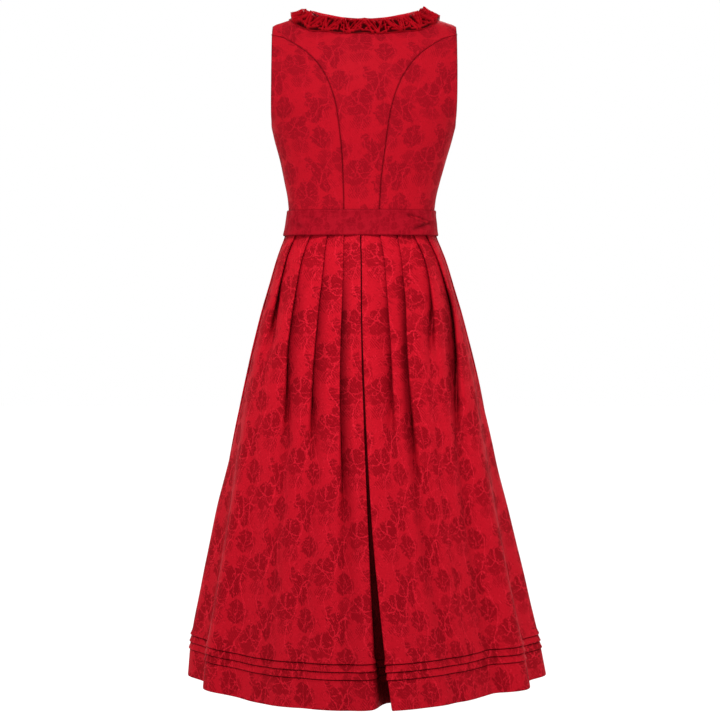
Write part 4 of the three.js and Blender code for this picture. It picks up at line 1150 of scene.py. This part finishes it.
def skirt_ring(z):
    """The skirt's middle line at one height, from the centre front round by the wearer's right. With it
    come its painted shades, the two points on the side seams, and the points in the panels' middles."""
    ring = oval(z)
    rim = ring["rim"]

    def fold(along):
        return hem_fold(np.abs(along / rim)) * ramp(FOLDS_FROM_Z, HEM_Z, z)

    sides = []
    for hand in (-1, 1):
        samples, seam, middles = sampled_side(half_ring(z, hand, rim), rim)
        opened = samples[:, 2]
        along = hand * samples[:, 0] - bell(centre_at(z, "drift"), samples[:, 0] / rim, DRIFT_REACH)
        live = DRAPE * drape(along, z) + SMALL_DRAPE * small_drape(along, z)
        live = float(ramp(*DRAPE_FREE, z)) * live * (PRESSED_DRAPE + (1 - PRESSED_DRAPE) * opened)
        points = on_oval(ring, along, samples[:, 1] + fold(along) + live)
        sides.append((points, lerp(PRESSED_SOFTNESS, OPENED_SOFTNESS, opened), samples[:, 3], seam, middles))
    centre_s = -centre_at(z, "drift")
    centre_n = -centre_at(z, "depth") + float(fold(centre_s))
    centre = on_oval(ring, np.array([centre_s]), np.array([centre_n]))
    front = on_oval(ring, np.array([rim]), np.zeros(1))
    (right, right_soft, right_dark, right_seam, middles), (left, left_soft, left_dark, left_seam, _) = sides
    run = np.concatenate([front, right[::-1], centre, left])
    softness = np.concatenate([[FRONT_SOFTNESS], right_soft[::-1], [PRESSED_SOFTNESS], left_soft])
    # Painted shade: the centre pleat's deepest point is fully shaded.
    dark = np.concatenate([[0], right_dark[::-1], [1], left_dark])
    first_left = len(right) + 2
    cells = [len(right) - m for m in reversed(middles)] + [first_left + m for m in middles]
    return softened(run, softness), dark, len(right) - right_seam, first_left + left_seam, cells


TUCK = {"count": 3, "bottom_z": -1103.5, "pitch": 12.2}
# Rows of one tuck: height against its lower edge, lift in millimetres, and how much painted shade it gets in
# the groove under the tuck's edge.
TUCK_ROWS = [
    (10.2, 0.0, 0), (6.0, 0.8, 0), (2.2, 1.9, 0), (0.5, 2.3, 0.1), (0.0, 2.0, 0.7), (0.1, 0.2, 1),
    (-0.5, -0.8, 1), (-1.3, -0.7, 0.7), (-1.9, -0.1, 0),
]


# Behind on the left the hem hangs a little lower.
HEM_DIP = {"drop": 7.5, "x": 185, "width": 75, "from_z": -700, "by_z": -1090, "behind": 60}


def skirt_rows():
    """Heights of the skirt's rows, with how far each is lifted and how much painted shade it gets under a
    tuck's edge and along the hem.
    """
    plain = [np.linspace(-356.2, -396, 7), np.linspace(-403, -620, 28), np.linspace(-630, -1050, 35)]
    rows = [(z, 0.0, 0.0) for z in np.concatenate(plain)]
    first = TUCK["bottom_z"] + (TUCK["count"] - 1) * TUCK["pitch"]
    for i in range(TUCK["count"]):
        bottom = first - i * TUCK["pitch"]
        rows += [(bottom + up, lift, line) for up, lift, line in TUCK_ROWS]
    rows += [(z, 0.0, 0.0) for z in (-1112, -1125, -1139, -1149.5)]
    # The hem's last rows turn in, with painted shade along its edge.
    rows += [(-1151.3, -0.15, 0.2), (HEM_Z, -0.5, 0.5)]
    return rows


def pleated_uv(grid, cells):
    """The cloth's lengths to the right and up. The middle of each panel keeps its own thread all the
    way down, and what a pleat lets out lower down is shared out between them."""
    u, v = lengths_along(grid, 1), mean_heights(grid)
    stops = [0, *cells, grid.shape[1] - 1]
    out = np.zeros_like(u)
    at = 0.0
    for a, b in zip(stops, stops[1:]):
        width = (u[:, b] - u[:, a]).mean()
        share = (u[:, a : b + 1] - u[:, a : a + 1]) / (u[:, b] - u[:, a])[:, None]
        out[:, a : b + 1] = at + share * width
        at += width
    return -np.stack([out, np.broadcast_to(v[:, None], out.shape)], -1)


SEAM_TUCK = (3.0, 1.5)  # how far the front width's seam allowance lies under the back width, and how deep
EDGES = ((0, 1), (-1, -2))  # the first and the last column of a piece, each with the one beside it


def tucked_under(points, normals, uv, shade):
    """Adds a seam allowance beside the first and the last column."""
    over, deep = SEAM_TUCK
    first, last = (
        points[:, a] + unit(points[:, a] - points[:, b]) * over - normals[:, a] * deep for a, b in EDGES
    )
    first_uv, last_uv = (uv[:, a] + unit(uv[:, a] - uv[:, b]) * over for a, b in EDGES)
    points = np.concatenate([first[:, None], points, last[:, None]], 1)
    uv = np.concatenate([first_uv[:, None], uv, last_uv[:, None]], 1)
    normals, shade = (np.concatenate([v[:, :1], v, v[:, -1:]], 1) for v in (normals, shade))
    return points, normals, uv, shade


def skirt():
    rows = skirt_rows()
    heights, lift, line = (np.array(column) for column in zip(*rows))
    rings = [skirt_ring(z) for z in heights]
    start, end, cells = rings[0][2:]
    # Painted shade: the tucks' and the hem's rows, and the pleats' folds.
    shade = np.maximum(line[:, None], [ring[1] for ring in rings])
    plan = np.stack([ring[0] for ring in rings])
    x, y = plan[..., 0], plan[..., 1]
    dip = bell(HEM_DIP["drop"], x - HEM_DIP["x"], HEM_DIP["width"]) * ramp(0, HEM_DIP["behind"], y)
    level = heights[:, None] - dip * ramp(HEM_DIP["from_z"], HEM_DIP["by_z"], heights[:, None])
    grid = np.concatenate([plan, level[..., None]], 2)
    closed = np.concatenate([grid[:, -1:], grid, grid[:, :1]], 1)
    normals = grid_normals(closed, from_axis(closed))[:, 1:-1]
    outer = grid + normals * (lift[:, None, None] + SKIRT_CLOTH / 2)
    uv = pleated_uv(grid, cells)
    widths = {
        "skirt_back": np.arange(start, end + 1),
        "skirt_front": np.concatenate([np.arange(end, grid.shape[1]), np.arange(0, start + 1)]),
    }
    pieces = []
    for name, columns in widths.items():
        part = [values[:, columns] for values in (outer, normals, uv, shade)]
        for edge, beside in EDGES:
            part[0][:, edge] += unit(part[0][:, beside] - part[0][:, edge]) * HALF_GAP
        if name == "skirt_front":
            part[2][:, grid.shape[1] - end :, 0] += uv[0, -1, 0] - uv[0, 0, 0]
            part = tucked_under(*part)
        *surface, dark = part
        pieces.append(declare(shell(f"{name}_cloth", *surface, SKIRT_CLOTH, damask, dark), "damask", name))
    return pieces


skirt_back, skirt_front = skirt()

# ---------------------------------------------------------------- neck ruche and binding

RUCHE = {"inset": 3.0, "width": 28.6, "pitch": 34, "clearance": 1.2, "edge": 0.8, "low": 1.0, "high": 8.4}
# Over the shoulder line the ruche stands higher and fans out wider.
SHOULDER_RUCHE = {"reach": 42, "from_x": 60, "higher": 0.45, "wider": 5.5}
RUCHE_ENDS = {"right": 8.5, "left": 14}
# How much of the width the ruche takes to rise: at the neck edge, there on the shoulder, and outside.
RUCHE_RISE = {"neck": 0.16, "shoulder": 0.04, "outside": 0.05}
RUCHE_CLOTH = 0.8
# The binding round the neck edge: half its width and height, and where its middle lies.
BINDING = {"wide": 3.0, "outward": 1.3, "high": 1.4, "down": 0.2, "uneven": 0.15}


def closed_curve(points, per_span=80):
    """A closed centripetal curve through plan points, and its length at each of its places."""
    count = len(points)
    out = []
    for i in range(count):
        p = [points[(i + k) % count] for k in (-1, 0, 1, 2)]
        knots = [0.0]
        for a, b in zip(p, p[1:]):
            knots.append(knots[-1] + math.sqrt(max(np.linalg.norm(b - a), 1e-6)))
        t = np.linspace(knots[1], knots[2], per_span, endpoint=False)[:, None]

        def mix(a, b, start, stop):
            return (a * (knots[stop] - t) + b * (t - knots[start])) / (knots[stop] - knots[start])

        a1, a2, a3 = (mix(p[k], p[k + 1], k, k + 1) for k in range(3))
        b1, b2 = mix(a1, a2, 0, 2), mix(a2, a3, 1, 3)
        out.append(mix(b1, b2, 1, 2))
    line = np.concatenate([*out, out[0][:1]])
    return line, lengths_along(line)


def neck_edge():
    """The neck edge in the flat of the form: x across, and the length of cloth behind the shoulders."""
    edge = [(x, float(cloth_length(x, z, BACK))) for x, z in BACK_NECK]
    edge[-1] = (edge[-1][0], 0.0)
    for _, _, z, x in reversed(FRONT_ROWS):
        if x is not None:
            edge.append((x, -float(cloth_length(x, z, FRONT))))
    bottom = [row for row in FRONT_ROWS if row[3] is None][-1]
    edge.append((0, -float(cloth_length(0, bottom[2], FRONT))))
    left = np.array(edge)
    right = left[1:-1][::-1] * [-1, 1]
    return closed_curve(np.concatenate([left, right]))


def neck_place(line, lengths, along):
    """Points of the neck edge and the directions away from the neck there."""
    def read(place):
        place = np.mod(place, lengths[-1])
        return np.stack([np.interp(place, lengths, line[:, i]) for i in range(2)], -1)

    at = read(along)
    tangent = unit(read(along + 1.0) - read(along - 1.0))
    away = np.stack([tangent[:, 1], -tangent[:, 0]], -1)
    inside = (line[0] + line[len(line) // 2]) / 2
    flip = np.sign((away * (at - inside)).sum(1, keepdims=True))
    return at, away * flip


def neck_surface(flat, out):
    """Points over the bodice at places of its flat, some way out from it. The first half of the rows lies
    on the wearer's right, where the front laps over."""
    side = np.where(flat[..., 1] >= 0, BACK, FRONT)
    on_right = np.arange(len(flat))[:, None] < len(flat) / 2
    lap = np.where((side == FRONT) & on_right, lap_lift(flat[..., 0]), 0)
    length = np.abs(flat[..., 1])
    normal = normal_down(flat[..., 0], length, side)
    return down_form(flat[..., 0], length, side) + normal * (out + lap)[..., None]


# Ribs of one pitch of the ruche: where each starts and ends, along and across in millimetres, its height
# and its half width. The first ones fan from a point caught down at the outer edge, the next from one
# caught down at the neck edge, and the last close a small mouth between them.
RIBS = [
    ((0, 27), (-14, 5), 1.0, 2.2), ((0, 27), (14, 5), 1.0, 2.2), ((0, 27), (-5, 9), 0.75, 1.6),
    ((0, 27), (6, 10), 0.8, 1.6), ((0, 27), (-14, 23), 0.75, 1.8), ((0, 27), (14, 23), 0.75, 1.8),
    ((17, 3.5), (8, 25), 0.95, 2.0), ((17, 3.5), (26, 25), 0.95, 2.0), ((17, 3.5), (17, 10), 0.7, 1.6),
    ((17, 3.5), (3, 7), 0.8, 1.8), ((17, 3.5), (31, 7), 0.8, 1.8), ((17, 12), (12.5, 17), 0.8, 1.6),
    ((12.5, 17), (17, 22), 0.8, 1.6), ((17, 22), (21.5, 17), 0.8, 1.6), ((21.5, 17), (17, 12), 0.8, 1.6),
    ((-3, 3), (-8, 14), 0.7, 1.5), ((4, 3), (2, 12), 0.65, 1.5), ((10, 15), (5, 21), 0.7, 1.5),
    ((24, 13), (28, 20), 0.7, 1.5),
]
RIB_WANDER = 2.6
RIB_TALL = (0.8, 1.1)  # each rib's own share of its height
RIB_REACH = 22
RIB_ROUNDNESS = 0.85
# Painted shade in the ruche's hollows: it fades out between these two heights of the relief.
HOLLOW_SHADE_HEIGHTS = (0.06, 0.62)  # the heights between which the ruche turns from dark to bright


def ruche_height(along, across):
    """The ruched braid's relief from 0 to 1: sharp ribs that cross between stitched-down points."""
    rng = np.random.default_rng(43)
    height = np.zeros(np.broadcast(along, across).shape)
    first, last = int(along[0, 0] // RUCHE["pitch"]) - 1, int(along[-1, 0] // RUCHE["pitch"]) + 2
    for pitch in range(first, last):
        for (a0, b0), (a1, b1), tall, wide in RIBS:
            a0, b0, a1, b1 = np.array([a0, b0, a1, b1]) + rng.uniform(-RIB_WANDER, RIB_WANDER, 4)
            tall = tall * rng.uniform(*RIB_TALL)
            near = np.abs(along[:, 0] - pitch * RUCHE["pitch"] - (a0 + a1) / 2) < RIB_REACH
            a, b = along[near] - pitch * RUCHE["pitch"], across
            length2 = (a1 - a0) ** 2 + (b1 - b0) ** 2
            t = np.clip(((a - a0) * (a1 - a0) + (b - b0) * (b1 - b0)) / length2, 0, 1)
            distance = np.hypot(a - lerp(a0, a1, t), b - lerp(b0, b1, t)) / wide
            rib = tall * np.clip(1 - distance, 0, 1) ** RIB_ROUNDNESS
            height[near] = np.maximum(height[near], rib)
    return height


def neck_run(count):
    """Places along the neck edge, from the right front's lap round by the back to the left front."""
    line, lengths = neck_edge()
    start, end = (
        lengths[np.where((line[:, 1] < 0) & (line[:, 0] < RUCHE_ENDS[side]))[0][0]]
        for side in ("right", "left")
    )
    along = np.linspace(start, end + lengths[-1], count)
    return along[:, None], *neck_place(line, lengths, along)


trim_noise = Ripple(41, 9, 7)
trim_wobble = Ripple(42, 23, 15)


def ruche():
    along, at, away = neck_run(1150)
    w = np.concatenate([[0, 0.0, 0.02], np.linspace(0.045, 0.965, 32), [0.985, 1]])[None]
    height = ruche_height(along, w * RUCHE["width"])
    over_shoulder = bell(1, at[:, 1:], SHOULDER_RUCHE["reach"])
    over_shoulder = over_shoulder * (np.abs(at[:, :1]) > SHOULDER_RUCHE["from_x"])
    rise = lerp(RUCHE_RISE["neck"], RUCHE_RISE["shoulder"], over_shoulder)
    inside = np.clip(np.minimum(w / rise, (1 - w) / RUCHE_RISE["outside"]), 0, 1)
    tall = (0.85 + 0.3 * trim_wobble(along, w * 30)) * (1 + SHOULDER_RUCHE["higher"] * over_shoulder)
    relief = RUCHE["low"] + RUCHE["high"] * height * tall + 0.4 * trim_noise(along * 1.7, w * 60)
    out = lerp(RUCHE["edge"], relief, inside)
    out[:, [0, -1]] = 0
    # Painted shade in the hollows between the ribs and along the outer edge.
    painted_hollow_shade = np.maximum(inside * (1 - ramp(*HOLLOW_SHADE_HEIGHTS, height)), 0.4 * ramp(0.95, 1, w))
    width = RUCHE["width"] + SHOULDER_RUCHE["wider"] * over_shoulder
    flat = at[:, None] + away[:, None] * (RUCHE["inset"] + w * width)[..., None]
    grid = neck_surface(flat, out + RUCHE["clearance"])
    normals = grid_normals(grid, neck_surface(flat, out * 0 + 30) - grid)
    uv = np.stack(np.broadcast_arrays(along * 1.6, w * 48), -1)
    piece = shell("neck_ruche_cloth", grid, normals, uv, RUCHE_CLOTH, ruche_cloth, painted_hollow_shade)
    return declare(piece, "ruche", "neck_ruche")


def neck_binding():
    """A closed tube with flat ends round the neck edge."""
    count, around = 900, 14
    along, at, away = neck_run(count)
    turn = np.linspace(0, 2 * np.pi, around + 1)[None, :-1]
    reach = BINDING["wide"] * np.cos(turn) + BINDING["outward"]
    height = BINDING["high"] * np.sin(turn) - BINDING["down"]
    height = height + BINDING["uneven"] * trim_noise(along, turn * 4)
    rings = neck_surface(at[:, None] + away[:, None] * reach[..., None], height)
    ids = np.arange(count * around).reshape(count, around)
    after = np.roll(ids, -1, axis=1)
    faces = np.stack([ids[:-1], after[:-1], after[1:], ids[1:]], -1).reshape(-1, 4).tolist()
    faces += [ids[0][::-1].tolist(), ids[-1].tolist()]
    uv = np.stack(np.broadcast_arrays(along, np.arange(around)[None] * 1.2), -1).reshape(-1, 2)
    return declare(mesh_object("neck_binding", rings.reshape(-1, 3), faces, uv, damask), "damask")


neck_ruche = ruche()
binding = neck_binding()

# ---------------------------------------------------------------- buttons

BUTTON = {"count": 4, "top_z": -248, "pitch": 22, "height": 3.6, "x": 1, "off": 0.2}
BUTTON_RIM = [(4.6, 0.0), (5.4, 0.35), (5.95, 1.0), (5.9, 1.5)]  # radius and height
BUTTON_DOME = [(5.6 * math.cos(t), 1.7 + 1.9 * math.sin(t)) for t in np.linspace(0.1, 1.45, 8)]
# Painted shade round a button's base: it fades out between these heights.
BUTTON_SHADE = (0.3, 1.8)  # the heights between which a button's side turns from dark to bright


def button(index):
    """A cloth-covered button: rings of points round an axis, between a point below and one on top."""
    length = cloth_length(BUTTON["x"], BUTTON["top_z"] - index * BUTTON["pitch"], FRONT)
    normal = normal_down(np.float64(BUTTON["x"]), length, np.array(FRONT))
    seat = down_form(BUTTON["x"], length, FRONT) + normal * (OVER_LIFT + BUTTON["off"])
    side = unit(np.cross(normal, [0, 0, 1.0]))
    up = np.cross(side, normal)
    turns = np.linspace(0, 2 * np.pi, 40, endpoint=False)
    profile = BUTTON_RIM + BUTTON_DOME
    # Each point's painted shade: full at the seat, fading out up the button's side.
    points, uv, shade = [seat], [(0, 0)], [1.0]
    for radius, height in profile:
        shade += [1 - float(ramp(*BUTTON_SHADE, height))] * len(turns)
        for turn in turns:
            spoke = side * math.cos(turn) + up * math.sin(turn)
            points.append(seat + spoke * radius + normal * height)
            uv.append((radius * math.cos(turn), radius * math.sin(turn)))
    points.append(seat + normal * BUTTON["height"])
    uv.append((0, 0))
    shade.append(0.0)
    rings = 1 + np.arange(len(profile) * len(turns)).reshape(len(profile), -1)
    after = np.roll(rings, -1, axis=1)
    faces = [[0, b, a] for a, b in zip(rings[0].tolist(), after[0].tolist())]
    faces += np.stack([rings[:-1], after[:-1], after[1:], rings[1:]], -1).reshape(-1, 4).tolist()
    faces += [[a, b, len(points) - 1] for a, b in zip(rings[-1].tolist(), after[-1].tolist())]
    name = f"button_{index + 1}"
    points, uv, shade = (np.array(rows, float) for rows in (points, uv, shade))
    return declare(mesh_object(f"{name}_cloth", points, faces, uv, ruche_cloth, shade), "button", name)


for index in range(BUTTON["count"]):
    button(index)

# ---------------------------------------------------------------- stage, light and camera

WHITE = (1, 1, 1, 1)
FLOOR_Z, FLOOR_HALF = -1.5, 14
# The floor's own light makes it as white as the studio behind it.
FLOOR_LOOK = {
    "Base Color": (0.3, 0.3, 0.3, 1), "Roughness": 0.9, "Emission Color": WHITE, "Emission Strength": 0.73,
}
# Name, place, aim, size, power in watts, and spread in degrees.
LIGHTS = [
    ("key", (0.3, 1.8, 1.2), (0, 0.1, -0.4), 0.7, 1.58, 30),
    ("fill", (-2.0, 2.2, 0.6), (0, 0, -0.55), 1.6, 3, 180),
    ("front", (-0.4, -1.7, 1.25), (0, 0, -0.3), 0.9, 24, 180),
]
CAMERA = {"place": (0.0027, 2.83, -0.512), "aim": (0.0027, 0, -0.595), "lens": 79.5, "sensor": 36}


def stage_floor():
    mesh = bpy.data.meshes.new("floor")
    corners = [(x * FLOOR_HALF, y * FLOOR_HALF, FLOOR_Z) for x, y in ((-1, -1), (1, -1), (1, 1), (-1, 1))]
    mesh.from_pydata(corners, [], [(0, 1, 2, 3)])
    floor = bpy.data.objects.new("floor", mesh)
    scene.collection.objects.link(floor)
    material = bpy.data.materials.new("pale_floor")
    material.use_nodes = True
    shader = material.node_tree.nodes["Principled BSDF"]
    for name, value in FLOOR_LOOK.items():
        shader.inputs[name].default_value = value
    floor.data.materials.append(material)


def aimed(name, data, place, aim):
    """Puts a light or a camera in the scene, turned to what it looks at."""
    obj = bpy.data.objects.new(name, data)
    obj.location = place
    obj.rotation_euler = (Vector(aim) - Vector(place)).to_track_quat("-Z", "Y").to_euler()
    scene.collection.objects.link(obj)
    return obj


stage_floor()
for name, place, aim, size, power, spread in LIGHTS:
    light = bpy.data.lights.new(name, "AREA")
    light.shape = "RECTANGLE"
    light.size = light.size_y = size
    light.energy = power
    light.spread = math.radians(spread)
    aimed(name, light, place, aim)
world = bpy.data.worlds.new("studio")
world.use_nodes = True
background = world.node_tree.nodes["Background"]
background.inputs["Color"].default_value = WHITE
background.inputs["Strength"].default_value = 1.0
scene.world = world
scene.view_settings.view_transform = "Standard"
camera_data = bpy.data.cameras.new("camera")
camera_data.lens = CAMERA["lens"]
camera_data.sensor_width = CAMERA["sensor"]
scene.camera = aimed("camera", camera_data, CAMERA["place"], CAMERA["aim"])
